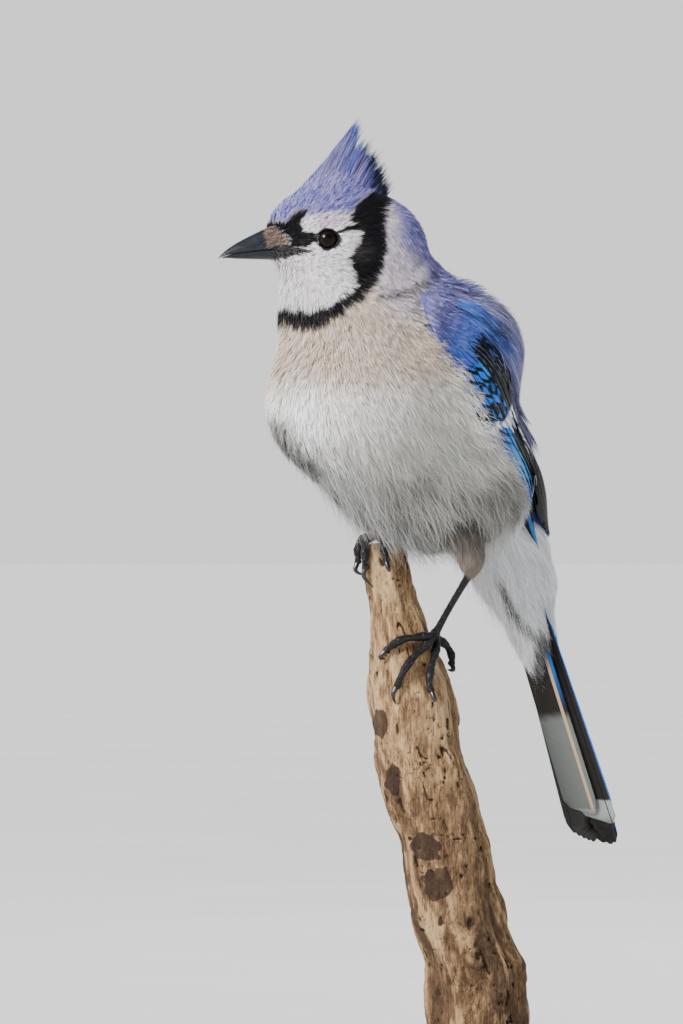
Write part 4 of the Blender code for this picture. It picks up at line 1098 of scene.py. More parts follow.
def coat_sizes(points, turn):
    """Length, half width and proudness of the feathers that grow at points of the coat."""
    head, body = in_head(points), in_body(points)
    up, forward = head[:, 2], head[:, 0]
    on_head = fade(-36, -16, up)
    at_face = fade(-12, 4, forward) * fade(-22, -8, up)
    crown = fade(8, 16, up)
    length = 9.0 + 3.5 * fade(0, -25, body[:, 2]) + 2.5 * fade(-30, -50, body[:, 0])
    head_length = 6.4 - 3.0 * at_face + 0.6 * crown
    near_bill = fade(13, 5, np.linalg.norm(head - [20, 0, -2], axis=-1))
    head_length = head_length - 1.0 * near_bill
    length = length * (1 - on_head) + head_length * on_head
    proud = 0.5 * (1 - on_head) + 0.25 * on_head
    return length, length * (0.23 + 0.03 * (1 - on_head)), proud


def grown(
    ring,
    side,
    chance,
    barbs,
    thick,
    loose=0.1,
    swirl=0.14,
    droop=0.0,
    longer=1.0,
    cover_share=1.0,
    proud_by=0.0,
    scatter_proud=0.35,
    push=None,
    open_wide=1.0,
    hang=0.0,
    light=False,
):
    """Feathers on the coat at rings and sides, ready to join. push leans them, as a direction in the body frame."""
    surface = on_grid(COAT, ring, side)
    outward = unit(on_grid(COAT_OUT, ring, side))
    turn = side / SIDES * 2 * math.pi
    length, half_width, proud = coat_sizes(surface, turn)
    length = length * longer * (0.85 + 0.3 * chance.random(len(ring)))
    # Feathers in front of an eye or of the lid's rim stop short of it
    direction = lie(surface, outward, ring)
    if push is not None:
        direction = direction + np.array(push) @ BODY
        direction = unit(direction - outward * np.sum(direction * outward, axis=-1, keepdims=True))
    depth = coat_depth(surface)
    turned = np.cross(outward, direction)
    swing = chance.normal(0, swirl, len(ring)) + 0.12 * drift(surface, 5.0, 21)
    direction = unit(direction * np.cos(swing)[:, None] + turned * np.sin(swing)[:, None])
    gap = eye_gap(surface)
    ahead = eye_gap(surface + direction * 2.0) < gap
    room = np.where(ahead & (gap < 14), np.maximum(gap - LID_CLEAR, 0.4), 99.0)
    length = np.minimum(length, np.where(room < 12, np.maximum(room * 1.05, 0.6), length))
    keep = gap > LID_CLEAR
    roots = surface - outward * (depth * 0.98)[:, None]
    paths, normals = tuft_paths(
        roots[keep],
        outward[keep],
        direction[keep],
        length[keep],
        depth[keep] * 0.98,
        proud[keep] + proud_by + scatter_proud * chance.random(keep.sum()),
        droop,
        cover=lambda places: cover_share * wing_height(places),
    )
    # Feathers that would lie far over a wing's front edge are left out
    if cover_share == 1.0:
        along, across, gap = wing_under(paths[:, -1])
        flush = np.abs(coat_distance(paths[:, -1]))
        beside = np.sqrt(np.maximum(gap**2 - flush**2, 0))
        inward = np.where(across > 0.01, 40 * across, -beside)
        far_in = (inward > -2.8 + 3.2 * chance.random(len(paths)) ** 2) & (beside < 6) & (along > 0.1) & (across < 0.9)
        kept = np.flatnonzero(keep)
        keep[kept[far_in & (along < 0.98)]] = False
        paths, normals = paths[keep[kept]], normals[keep[kept]]
        # The upper leg comes out between the flank's feathers
        over = paths[:, 2:, None] - THIGH[None, None, 18:]
        near = np.linalg.norm(over, axis=-1).min(axis=(1, 2)) < 7.0
        flat = np.stack([paths[:, 2, 0], paths[:, 2, 2]], axis=-1)
        near = near | ((outline_distance(flat, TAIL_SHADE) < -0.5) & (paths[:, 2, 1] < 28) & (turn[keep] < 2.2))
        kept = np.flatnonzero(keep)
        keep[kept[near]] = False
        paths, normals = paths[keep[kept]], normals[keep[kept]]
    turns = turn[keep]
    # Loose tips hang away from the coat under their own weight
    fall = hang * chance.random(len(paths)) ** 1.5
    paths = paths + fall[:, None, None] * np.linspace(0, 1, paths.shape[1])[None, :, None] ** 2 * np.array([0, 0, -1])

    def marks(places, tufts):
        table = markings(places, turns[tufts])
        # Loose hair stands out into the light: less painted shade and a paler grey, painted light
        if light:
            table["dusk"] = table["dusk"] * 0.6
            table["grey"] = table["grey"] * 0.75
        return table

    return barbed(
        paths,
        normals,
        half_width[keep] * open_wide,
        barbs,
        np.broadcast_to(thick, keep.shape)[keep],
        marks,
        bake_place(ring, side)[keep],
        chance,
        loose=loose,
    )


LID_CLEAR = 3.5


def cell_places():
    """The middle of each cell of the coat's grid, and the turn round the body there."""
    middle = (COAT[1:] + COAT[:-1]) / 2
    turn = np.broadcast_to(np.arange(SIDES) / SIDES * 2 * math.pi, middle.shape[:2])
    return middle, turn


def under_wing(middle):
    """1 where a cell of the grid is hidden well inside a folded wing."""
    flat = middle.reshape(-1, 3)
    along, across, gap = wing_under(flat)
    flush = np.abs(coat_distance(flat))
    beside = np.sqrt(np.maximum(gap**2 - flush**2, 0))
    hidden = (beside < 2.5) & (across > 0.05) & (across < 0.92) & (along > 0.05) & (along < 0.86)
    return hidden.reshape(middle.shape[:2])


def build_coat():
    """The small feathers of head, neck and body."""
    middle, turn = cell_places()
    head = in_head(middle.reshape(-1, 3)).reshape(middle.shape)
    body = in_body(middle.reshape(-1, 3)).reshape(middle.shape)
    hidden = under_wing(middle)
    up = head[..., 2]
    on_head = up + 0.1 * head[..., 0] > -27
    fine = on_head & ((head[..., 0] > -10) | (up > 2)) & (up > -16)
    chance = np.random.default_rng(41)
    sets = {
        "face_feathers": (np.where(fine, 1.10, 0.0), 8, 0.205, 0.08, 0.10, "breast_feathers"),
        "throat_feathers": (np.where(on_head & ~fine, 0.92, 0.0), 8, 0.25, 0.12, 0.12, "breast_feathers"),
    }
    front = (np.abs((turn + math.pi) % (2 * math.pi) - math.pi) < 1.75) & ~on_head & ~hidden
    rear = ~front & ~on_head & ~hidden
    upper = body[..., 2] > 4
    sets["breast_feathers"] = (np.where(front & upper, 0.42, 0.0), 12, 0.32, 0.16, 0.16, "breast_feathers")
    sets["belly_feathers"] = (np.where(front & ~upper & (body[..., 2] > -30), 0.32, 0.0), 12, 0.32, 0.22, 0.2, "breast_feathers")
    sets["vent_feathers"] = (np.where(front & (body[..., 2] <= -30), 0.32, 0.0), 12, 0.32, 0.22, 0.2, "breast_feathers")
    sets["back_feathers"] = (np.where(rear, 0.34, 0.0), 12, 0.32, 0.14, 0.14, "blue_feathers")
    for name, (density, barbs, thick, loose, swirl, slot) in sets.items():
        ring, side = scatter(density, chance)
        share = 0.3 if name == "back_feathers" else 1.0
        hang = 3.0 if name in ("belly_feathers", "vent_feathers") else 0.0
        part = grown(ring, side, chance, barbs, thick, loose=loose, swirl=swirl, cover_share=share, hang=hang)
        add_coat(name, COAT_FINISH, [part])


COAT_FINISH = coat_finish("small_feathers")
SKIN_FINISH = coat_finish("feathered_skin", rooted=False)


# Flight feathers


def shape_of_vane(share, width, tip=0.18, root=0.35):
    """Half width along a feather: narrow at the root, full in the middle, round at the tip."""
    rise = np.clip(share / root, 0, 1)
    rise = 0.45 + 0.55 * rise * rise * (3 - 2 * rise)
    end = np.clip((1 - share) / tip, 0, 1)
    return width * rise * np.sqrt(np.clip(1 - (1 - end) ** 2, 0.012, 1))


VANE_COLUMNS = np.array([-1.0, -0.72, -0.4, -0.1, 0.0, 0.1, 0.4, 0.72, 1.0])


def vane(shaft, outward, ups, outer, inner, marks, chance, thick=0.3, camber=0.14, ragged=0.05):
    """One stiff feather as a closed thin plate. outward points to its outer web, of width outer at each station."""
    stations, columns = len(shaft), len(VANE_COLUMNS)
    x = VANE_COLUMNS[None]
    edge = np.abs(x) > 0.9
    fray = 1 - ragged * chance.random((stations, 2)) ** 2
    slit = chance.random((stations, 2)) < (0.06 if ragged else 0.0)
    fray = np.where(slit, fray - 0.22, fray)
    fray[:2] = fray[-2:] = 1.0
    side_fray = np.where(x < 0, fray[:, :1], fray[:, 1:])
    width = np.where(x < 0, inner[:, None], outer[:, None]) * np.where(edge, side_fray, 1.0)
    offset = x * width
    drop = -camber * np.abs(offset) ** 1.6 / np.maximum(np.maximum(inner, outer)[:, None], 0.5) ** 0.6
    ridge = 0.16 * np.exp(-((x / 0.08) ** 2)) * (1 - np.linspace(0, 1, stations)[:, None] ** 3)
    body = shaft[:, None] + outward[:, None] * offset[..., None] + ups[:, None] * drop[..., None]
    half = thick / 2 * (1 - 0.55 * x**2)
    top = body + ups[:, None] * (half + ridge)[..., None]
    bottom = body - ups[:, None] * (half + 0.7 * ridge)[..., None]
    size = stations * columns
    points = np.concatenate([top.reshape(-1, 3), bottom.reshape(-1, 3)])
    upper = grid_faces(stations, columns)
    lower = grid_faces(stations, columns, first=size)[:, ::-1]
    index = np.arange(size).reshape(stations, columns)
    rim = np.concatenate([index[0], index[1:, -1], index[-1, -2::-1], index[-2:0:-1, 0]])
    after = np.roll(rim, -1)
    sides = np.stack([after, rim, rim + size, after + size], axis=-1)
    steps = np.linalg.norm(np.diff(shaft, axis=0), axis=1)
    reach = np.append(np.cumsum(steps[::-1])[::-1], 0.0)
    web = np.broadcast_to(x, (stations, columns)).reshape(-1)
    share = np.repeat(np.linspace(0, 1, stations), columns)
    numbers = {
        "web": np.tile(web, 2),
        "from_shaft": np.tile(np.abs(offset).reshape(-1), 2),
        "from_tip": np.tile(np.repeat(reach, columns), 2),
        "share": np.tile(share, 2),
        "upper": np.repeat([1.0, 0.0], size),
        "feather": np.full(2 * size, chance.random()),
    }
    for key, value in {**PLAIN_VANE, **marks}.items():
        numbers[key] = np.full(2 * size, float(value))
    place = np.stack([np.tile(web, 2) * 0.5 + 0.5, np.tile(share, 2)], axis=-1)
    place[size:, 0] += 1.0
    return points, np.vstack([upper, lower, sides]), numbers, place


# How a stiff feather is marked: where the blue rim of its underside starts, black and white laid over it, how far in the blue reaches, how strongly it is barred and how far apart in
# millimetres, the length of its white tip, how cyan its edge is, and the pale and black ends of its underside
PLAIN_VANE = {"edged": 0.35, "ink": 0.0, "frost": 0.0, "azure": -0.7, "barred": 0.0, "spaced": 5.4, "tipped": 0.0, "cyan": 0.0, "pale": 0.0, "violet": 0.0}


def add_vanes(name, parts, finish):
    """Joins stiff feathers into one piece. Each has its own cell on the bake map, its faces side by side."""
    columns = math.ceil(math.sqrt(len(parts) / 3)) + 1
    rows = math.ceil(len(parts) / columns)
    points, quads, places = [], [], []
    numbers = {}
    first = 0
    for index, (part_points, part_quads, part_numbers, place) in enumerate(parts):
        row, column = divmod(index, columns)
        cell = np.stack([(column + 0.04 + 0.45 * place[:, 0]) / columns, (row + 0.04 + 0.92 * place[:, 1]) / rows], -1)
        points.append(part_points)
        quads.append(part_quads + first)
        places.append(cell)
        for key, values in part_numbers.items():
            numbers.setdefault(key, []).append(values)
        first += len(part_points)
    numbers = {key: np.concatenate(values) for key, values in numbers.items()}
    return mesh_piece(name, np.vstack(points), [np.vstack(quads)], finish, numbers, np.vstack(places))


FEATHER_BLACK = (0.004, 0.004, 0.005)
AZURE = (0.014, 0.125, 0.66)
SKY_EDGE = (0.045, 0.30, 0.64)
VANE_VIOLET = (0.07, 0.085, 0.34)
WHITE_TIP = (0.80, 0.82, 0.84)
UNDER_GREY = (0.020, 0.018, 0.016)
UNDER_PALE = (0.165, 0.18, 0.17)
UNDER_TIP = (0.46, 0.50, 0.50)
SHAFT_CREAM = (0.55, 0.40, 0.25)
PALE_THREAD = (0.20, 0.26, 0.38)


def vane_finish():
    """Stiff feathers: barred blue above, grey below, with fine barbs that slant to the tip."""
    made = Finish("stiff_feathers", Roughness=0.45, Specular_IOR_Level=0.09)
    web, reach, upper = made.stored("web"), made.stored("from_tip"), made.stored("upper")
    off_shaft, feather = made.stored("from_shaft"), made.stored("feather")
    slant = reach - off_shaft * 1.1
    along_barb = made.made_place(slant * 2.2, off_shaft * 0.12, feather * 31.0)
    streak = made.noise(1.6, 2.0, 0.6, where=along_barb)
    cloud = made.noise(160.0, 2.0)
    azure = made.stored("azure")
    blue = (web + (streak - 0.5) * 0.3 - azure).step(-0.1, 0.14)
    phase = (slant + cloud * 1.3 + feather * 3.0) / made.stored("spaced") * 6.2832
    bar = (phase.sine() + (streak - 0.5) * 0.5).step(0.30, 0.62) * made.stored("barred")
    blues = made.mix((cloud * 1.2 + streak * 0.5 - 0.3).step(0.2, 0.9) * 0.45, AZURE, SKY_EDGE)
    blues = made.mix(made.stored("violet"), blues, VANE_VIOLET)
    blues = made.mix(made.stored("cyan"), blues, SKY_EDGE)
    colour = made.mix(blue, FEATHER_BLACK, blues)
    colour = made.mix(bar, colour, FEATHER_BLACK)
    ink = (made.stored("ink") + (streak - 0.5) * 0.5).step(0.3, 0.7)
    thread = off_shaft.step(0.26, 0.12) * upper * (cloud * 1.6 - 0.2).step(0.2, 0.8) * 0.55
    colour = made.mix(ink, colour, made.mix(thread, FEATHER_BLACK, PALE_THREAD))
    frost = (made.stored("frost") + (streak - 0.5) * 0.5).step(0.35, 0.65)
    colour = made.mix(frost * 0.92, colour, WHITE_TIP)
    tipped = made.stored("tipped")
    tip = (tipped - reach + (streak - 0.5) * 1.4 + off_shaft * 0.12).step(-0.5, 0.5) * tipped.step(0.2, 0.4)
    colour = made.mix(tip, colour, WHITE_TIP)
    pale = made.stored("pale")
    share = made.stored("share")
    pale_end = (share + (streak - 0.5) * 0.03).step(0.60, 0.645) * pale
    under = made.mix(pale_end, UNDER_GREY, UNDER_PALE)
    under = made.mix(tip * 0.7, under, UNDER_TIP)
    edge_blue = (web - made.stored("edged") + (streak - 0.5) * 0.1).step(0.0, 0.12) * 0.8
    edge_blue = edge_blue * (1 - share.step(0.9, 1.0)) * (1 - pale * share.step(0.40, 0.62))
    under = made.mix(edge_blue, under, blues)
    # Under the wing's black the undersides are black too: partly the feathers' own black, partly painted shade in the
    # gaps under the webs
    under = made.mix(ink, under, FEATHER_BLACK)
    colour = made.mix(upper, under, colour)
    wide = pale * (1 - upper) * 0.45 + 0.34
    shaft = (wide - off_shaft).step(0.0, 0.16) * (1 - ink * upper)
    shaft_colour = made.mix(pale * (1 - upper), FEATHER_BLACK, SHAFT_CREAM)
    colour = made.mix(shaft, colour, shaft_colour)
    shade = streak * 0.5 + 0.76
    colour = made.mix(1.0, colour, made.made_place(shade, shade, shade), "MULTIPLY")
    made.colour(colour)
    made.roughness(streak * 0.2 + 0.3)
    barbs = (slant * 9.0).sine() * 0.5 + streak * 0.8
    made.bump(barbs * off_shaft.step(0.1, 0.5), 0.00012, 0.6)
    return made.material


# Tiers of the folded wing: count, root and tip of the first feather and of the last one as (along, across), half
# width, lift at root and tip, roundness of the tip, and marks
WING_TIERS = {
    "primaries": (9, (0.44, 0.14), (1.0, 0.30), (0.46, 0.46), (0.80, 0.66), 3.7, (1.7, 2.0), 0.28,
                  {"azure": 0.25, "cyan": 0.55}),
    "secondaries": (8, (0.34, 0.18), (0.78, 0.12), (0.36, 0.66), (0.70, 0.64), 4.3, (2.5, 2.6), 0.16,
                    {"azure": -0.05, "barred": 1.0, "spaced": 4.6, "tipped": 5.0}),
    "tertials": (4, (0.28, 0.60), (0.62, 0.68), (0.30, 0.84), (0.52, 0.90), 5.0, (2.3, 2.6), 0.2,
                 {"azure": -0.45, "barred": 1.0, "spaced": 4.4, "tipped": 5.0}),
    "primary_coverts": (5, (0.26, 0.05), (0.50, 0.04), (0.28, 0.18), (0.52, 0.17), 3.0, (3.1, 3.3), 0.3,
                        {"azure": -0.3, "barred": 1.0, "spaced": 3.6}),
    "greater_coverts": (9, (0.25, 0.10), (0.495, 0.10), (0.24, 0.80), (0.48, 0.78), 3.4, (3.5, 4.2), 0.2,
                        {"azure": -0.5, "barred": 1.0, "spaced": 5.4, "tipped": 4.0}),
    "inner_coverts": (5, (0.13, 0.40), (0.36, 0.46), (0.14, 0.62), (0.40, 0.74), 3.8, (3.0, 4.0), 0.3,
                      {"azure": 0.55, "cyan": 0.5}),
    "median_coverts": (8, (0.12, 0.10), (0.29, 0.10), (0.10, 0.52), (0.27, 0.52), 3.6, (3.2, 4.3), 0.35,
                       {"azure": -0.8, "violet": 0.55}),
    "scapulars": (5, (0.02, 0.62), (0.27, 0.68), (0.02, 0.92), (0.33, 0.92), 5.0, (1.8, 3.0), 0.4,
                  {"azure": -0.5, "violet": 0.6}),
}
WING_TILT = -9


def wing_vane(hand, root, tip, width, lifts, tip_round, marks, chance):
    """One stiff feather of the folded wing, its outer web towards the leading edge and over its neighbour."""
    stations = 12 if tip[0] - root[0] < 0.27 else 24
    shares = np.linspace(0, 1, stations)
    along = root[0] + (tip[0] - root[0]) * shares
    across = root[1] + (tip[1] - root[1]) * shares
    lift = lifts[0] + (lifts[1] - lifts[0]) * shares
    # The feathers at the front edge stand a little ahead of it
    middle, normal = wing_point(hand, along, across - 0.12 * (1 - across) * fade(0.0, 0.25, along), lift)
    run = unit(np.gradient(middle, axis=0))
    back = unit(np.cross(normal, run)) * hand
    lean = math.radians(WING_TILT)
    outward = -(back * math.cos(lean) + normal * math.sin(lean))
    up = unit(np.cross(outward, run)) * hand
    whole = shape_of_vane(shares, width, tip=tip_round)
    shaft = middle + outward * (0.22 * whole)[:, None]
    points, quads, numbers, place = vane(shaft, outward, up, whole * 0.78, whole * 1.22, marks, chance)
    numbers["ink"], numbers["frost"], striped = wing_pattern(points, chance.normal(0, 0.009))
    numbers["barred"] = numbers["barred"] * (1 - striped)
    numbers["cyan"] = np.maximum(numbers["cyan"], 0.8 * striped)
    return points, quads[:, ::hand], numbers, place


# The middle line of the folded wing's long tip over the rump, as (X, Z) seen from the front
TIP_LINE = [(23.8, 231.8), (27.0, 217.4), (29.5, 204.8), (31.0, 197.3)]
TIP_STEPS = [(-1.6, -4.0, 1.5), (-0.6, -1.6, 0.5), (0.0, 1.5, 0.0), (0.0, 5.0, -1.0), (0.0, 9.0, -3.0)]


def tip_vanes(hand, chance):
    """The long black tips of the folded primaries, side by side over the rump."""
    flat = smooth_path([(x, 0, z) for x, z in TIP_LINE], 24)
    reach = np.linspace(-60, 60, 241)
    probes = flat[:, None] + reach[None, :, None] * np.array([0, 1, 0])
    clear = coat_distance(probes.reshape(-1, 3)).reshape(24, -1)
    near = np.where((clear < 1).any(axis=1), np.argmax(clear < 1, axis=1), np.argmin(clear, axis=1))
    shares = np.linspace(0, 1, 24)
    parts = []
    for index, step in enumerate(TIP_STEPS):
        middle = flat + reach[near][:, None] * np.array([0, 1, 0]) + step
        local = in_body(middle) * [1, hand, 1]
        middle = from_body(local)
        for _ in range(6):
            normal = coat_normal(middle)
            middle = middle + normal * (0.8 + 0.15 * index + 1.9 * shares**0.7 - coat_distance(middle))[:, None]
        run = unit(np.gradient(middle, axis=0))
        outward = unit(np.cross(run, normal)) * hand
        up = unit(np.cross(outward, run)) * hand
        whole = shape_of_vane(shares, 3.5, tip=0.3)
        looks = {"azure": 2.0}
        points, quads, numbers, place = vane(middle, outward, up, whole * 0.8, whole * 1.2, looks, chance)
        parts.append((points, quads[:, ::hand], numbers, place))
    return parts


def box(low, high, soft, value):
    """1 between low and high, with soft edges."""
    return fade(low - soft, low + soft, value) * fade(high + soft, high - soft, value)


def wing_pattern(points, shift):
    """Where the folded wing is black, white or striped whatever feather shows there, from along and across."""
    along, across, _ = wing_under(points)
    along = along + shift + 0.008 * drift(points, 2.5, 51)
    across = across + 0.10 + 0.04 * drift(points, 2.5, 52)
    slot = box(0.165, 0.365, 0.012, along) * box(0.43, 0.80, 0.04, across)
    behind = box(0.30, 0.53, 0.012, along) * fade(0.36, 0.46, across)
    bars = np.maximum(box(0.334, 0.352, 0.005, along), box(0.412, 0.44, 0.006, along)) * fade(0.62, 0.5, across)
    beyond = box(0.53, 0.62, 0.012, along) * fade(0.28, 0.4, across)
    tips = fade(0.56, 0.6, along) * fade(0.27, 0.36, across)
    ink = np.maximum.reduce([slot, behind, bars, beyond, tips])
    frost = box(0.49, 0.53, 0.008, along) * fade(0.32, 0.42, across)
    return ink * (1 - frost), frost, fade(0.52, 0.58, along)


def wing_pad(hand):
    """The padded root of the wing, thick at the shoulder and thin at its rim."""
    rows, columns = 30, 24
    reach, across = np.meshgrid(np.linspace(0, 1, rows), np.linspace(0.02, 0.98, columns), indexing="ij")
    reach, across = reach.ravel(), across.ravel()
    front = 0.14 * (2 * across - 1) ** 2
    along = front + (0.56 - front) * reach
    end = (reach - 0.42) / 0.58
    rim = np.maximum(0, 1 - np.abs(end) ** 2.4) * np.maximum(0, 1 - np.abs(2 * across - 1) ** 3)
    lower, _ = wing_point(hand, along, across, -1.0)
    upper, _ = wing_point(hand, along, across, 0.6 + (3.2 - 1.4 * fade(0.4, 0.9, across)) * np.sqrt(rim))
    index = np.arange(rows * columns).reshape(rows, columns)
    rim_loop = np.concatenate([index[0], index[1:, -1], index[-1, -2::-1], index[-2:0:-1, 0]])
    after = np.roll(rim_loop, -1)
    size = rows * columns
    faces = np.vstack(
        [
            grid_faces(rows, columns)[:, ::-1],
            grid_faces(rows, columns, first=size),
            np.stack([rim_loop, after, after + size, rim_loop + size], axis=-1),
        ]
    )
    points = np.vstack([lower, upper])
    if hand < 0:
        faces = faces[:, ::-1]
    marks = no_marks(len(points))
    marks["blue"] += 1
    marks["barb"] = marks["tuft"] = np.full(len(points), 0.35)
    place = np.tile(np.stack([0.05 + 0.4 * across, 0.05 + 0.9 * along], axis=-1), (2, 1))
    place[size:, 0] += 0.5
    return points, faces, marks, place


def wing_tufts(hand, count, along, across, length, half_width, lift, barbs, thick, marks, chance, loose=0.12):
    """Small soft feathers on the folded wing between limits of along and across."""
    start = along[0] + (along[1] - along[0]) * chance.random(count)
    where = across[0] + (across[1] - across[0]) * chance.random(count)
    start = np.maximum(start, 0.10 * np.clip(1 - 2 * where, 0, 1) ** 2)
    size = length * (0.8 + 0.4 * chance.random(count))
    slip = chance.normal(0, 0.03, count)
    steps = np.linspace(0, 1, 5)
    stations, normals = [], []
    for step in steps:
        reach = start + size / 125.0 * step
        rise = lift[0] + (lift[1] - lift[0]) * step + 0.5 * chance.random(count) * step
        point, normal = wing_point(hand, reach, where + slip * step, rise)
        stations.append(point)
        normals.append(normal)
    paths, ups = np.stack(stations, axis=1), np.stack(normals, axis=1)
    table = no_marks(count)
    for key, value in marks.items():
        table[key] = np.full(count, value) if np.isscalar(value) else value(start, where)
    place = np.stack([0.05 + 0.4 * where, 0.05 + 0.9 * start], axis=-1)
    return barbed(paths, ups, np.full(count, half_width), barbs, np.full(count, thick), table, place, chance, loose)


def build_wing(hand, name):
    """One folded wing: pad, stiff feathers in tiers and soft shoulder feathers."""
    chance = np.random.default_rng(71 if hand > 0 else 72)
    points, faces, marks, place = wing_pad(hand)
    pad = mesh_piece(name + "_pad", points, [faces], SKIN_FINISH, marks, place)
    parts = []
    for count, root_a, tip_a, root_b, tip_b, width, lifts, tip_round, looks in WING_TIERS.values():
        for index in range(count):
            share = index / (count - 1)
            jitter = chance.normal(0, 0.006, 4)
            root = [p + (q - p) * share for p, q in zip(root_a, root_b)]
            tip = [p + (q - p) * share for p, q in zip(tip_a, tip_b)]
            root = (root[0] + jitter[0], root[1] + jitter[1])
            tip = (min(1.0, tip[0] + jitter[2]), tip[1] + jitter[3])
            size = width * (0.94 + 0.12 * chance.random())
            parts.append(wing_vane(hand, root, tip, size, lifts, tip_round, looks, chance))
    parts.extend(tip_vanes(hand, chance))
    vanes = add_vanes(name + "_vanes", parts, VANE_FINISH)
    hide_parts(name)
    def clear(start, where):
        return np.clip(0.15 + 0.55 * fade(0.06, 0.2, start) - 0.4 * fade(0.6, 0.9, where), 0, 1)

    def lilac(start, where):
        return np.clip(0.5 * fade(0.14, 0.02, start) + 0.5 * fade(0.55, 0.9, where), 0, 1)

    def streaks(start, where):
        return 0.85 * (chance.random(len(start)) < 0.16 + 0.2 * fade(0.06, 0.16, start))

    def dim(start, where):
        return 0.35 * fade(0.26, 0.38, start) + 0.45 * (chance.random(len(start)) < 0.3)

    soft = [
        # Over the wrist and the front edge, then the long streaming feathers behind, and the fluff at the back edge
        wing_tufts(hand, 860, (0.0, 0.185), (0.0, 0.62), 8.5, 1.9, (2.6, 5.0), 10, 0.25,
                   {"blue": 1.0, "clear": clear, "lilac": lilac}, chance, 0.2),
        wing_tufts(hand, 580, (-0.02, 0.2), (0.42, 1.0), 17.0, 1.8, (1.8, 4.2), 10, 0.28,
                   {"blue": 1.0, "clear": clear, "lilac": lilac, "black": streaks}, chance, 0.22),
        wing_tufts(hand, 500, (0.12, 0.36), (0.80, 1.04), 14.0, 2.2, (1.6, 6.0), 10, 0.24,
                   {"blue": 0.85, "grey": 0.4, "lilac": 0.5, "clear": 0.2, "black": dim}, chance, 0.5),
        wing_tufts(hand, 520, (0.25, 0.44), (0.66, 1.0), 18.0, 2.4, (4.2, 6.6), 10, 0.22,
                   {"blue": 0.85, "grey": 0.35, "lilac": 0.4, "clear": 0.2, "black": dim}, chance, 0.5),
        wing_tufts(hand, 460, (0.36, 0.53), (0.50, 1.0), 16.0, 2.2, (4.6, 4.4), 10, 0.22,
                   {"blue": 0.8, "grey": 0.4, "lilac": 0.4, "clear": 0.3, "black": dim}, chance, 0.5),
        # A tongue of bright blue over the inner side of the black
        wing_tufts(hand, 160, (0.10, 0.22), (0.66, 0.82), 17.0, 2.0, (3.6, 5.4), 10, 0.26,
                   {"blue": 1.0, "clear": 0.8, "black": streaks}, chance, 0.2),
    ]
    tufts = add_coat(name + "_soft", COAT_FINISH, soft)
    return pad, vanes, tufts


# The tail

TAIL_TURN = math.radians(TAIL_PITCH)
TAIL_DOWN = np.array([-math.cos(TAIL_TURN), 0, -math.sin(TAIL_TURN)])
TAIL_BELLY = np.array([math.sin(TAIL_TURN), 0, -math.cos(TAIL_TURN)])
RECTRICES = 6


def on_tail(along, left, below=0.0):
    """World points from distances down the tail, to its left and below its middle plane."""
    along, left, below = (np.asarray(value, float)[..., None] for value in (along, left, below))
    return from_body(np.array(TAIL_ROOT) + along * TAIL_DOWN + left * np.array([0, 1, 0]) + below * TAIL_BELLY)


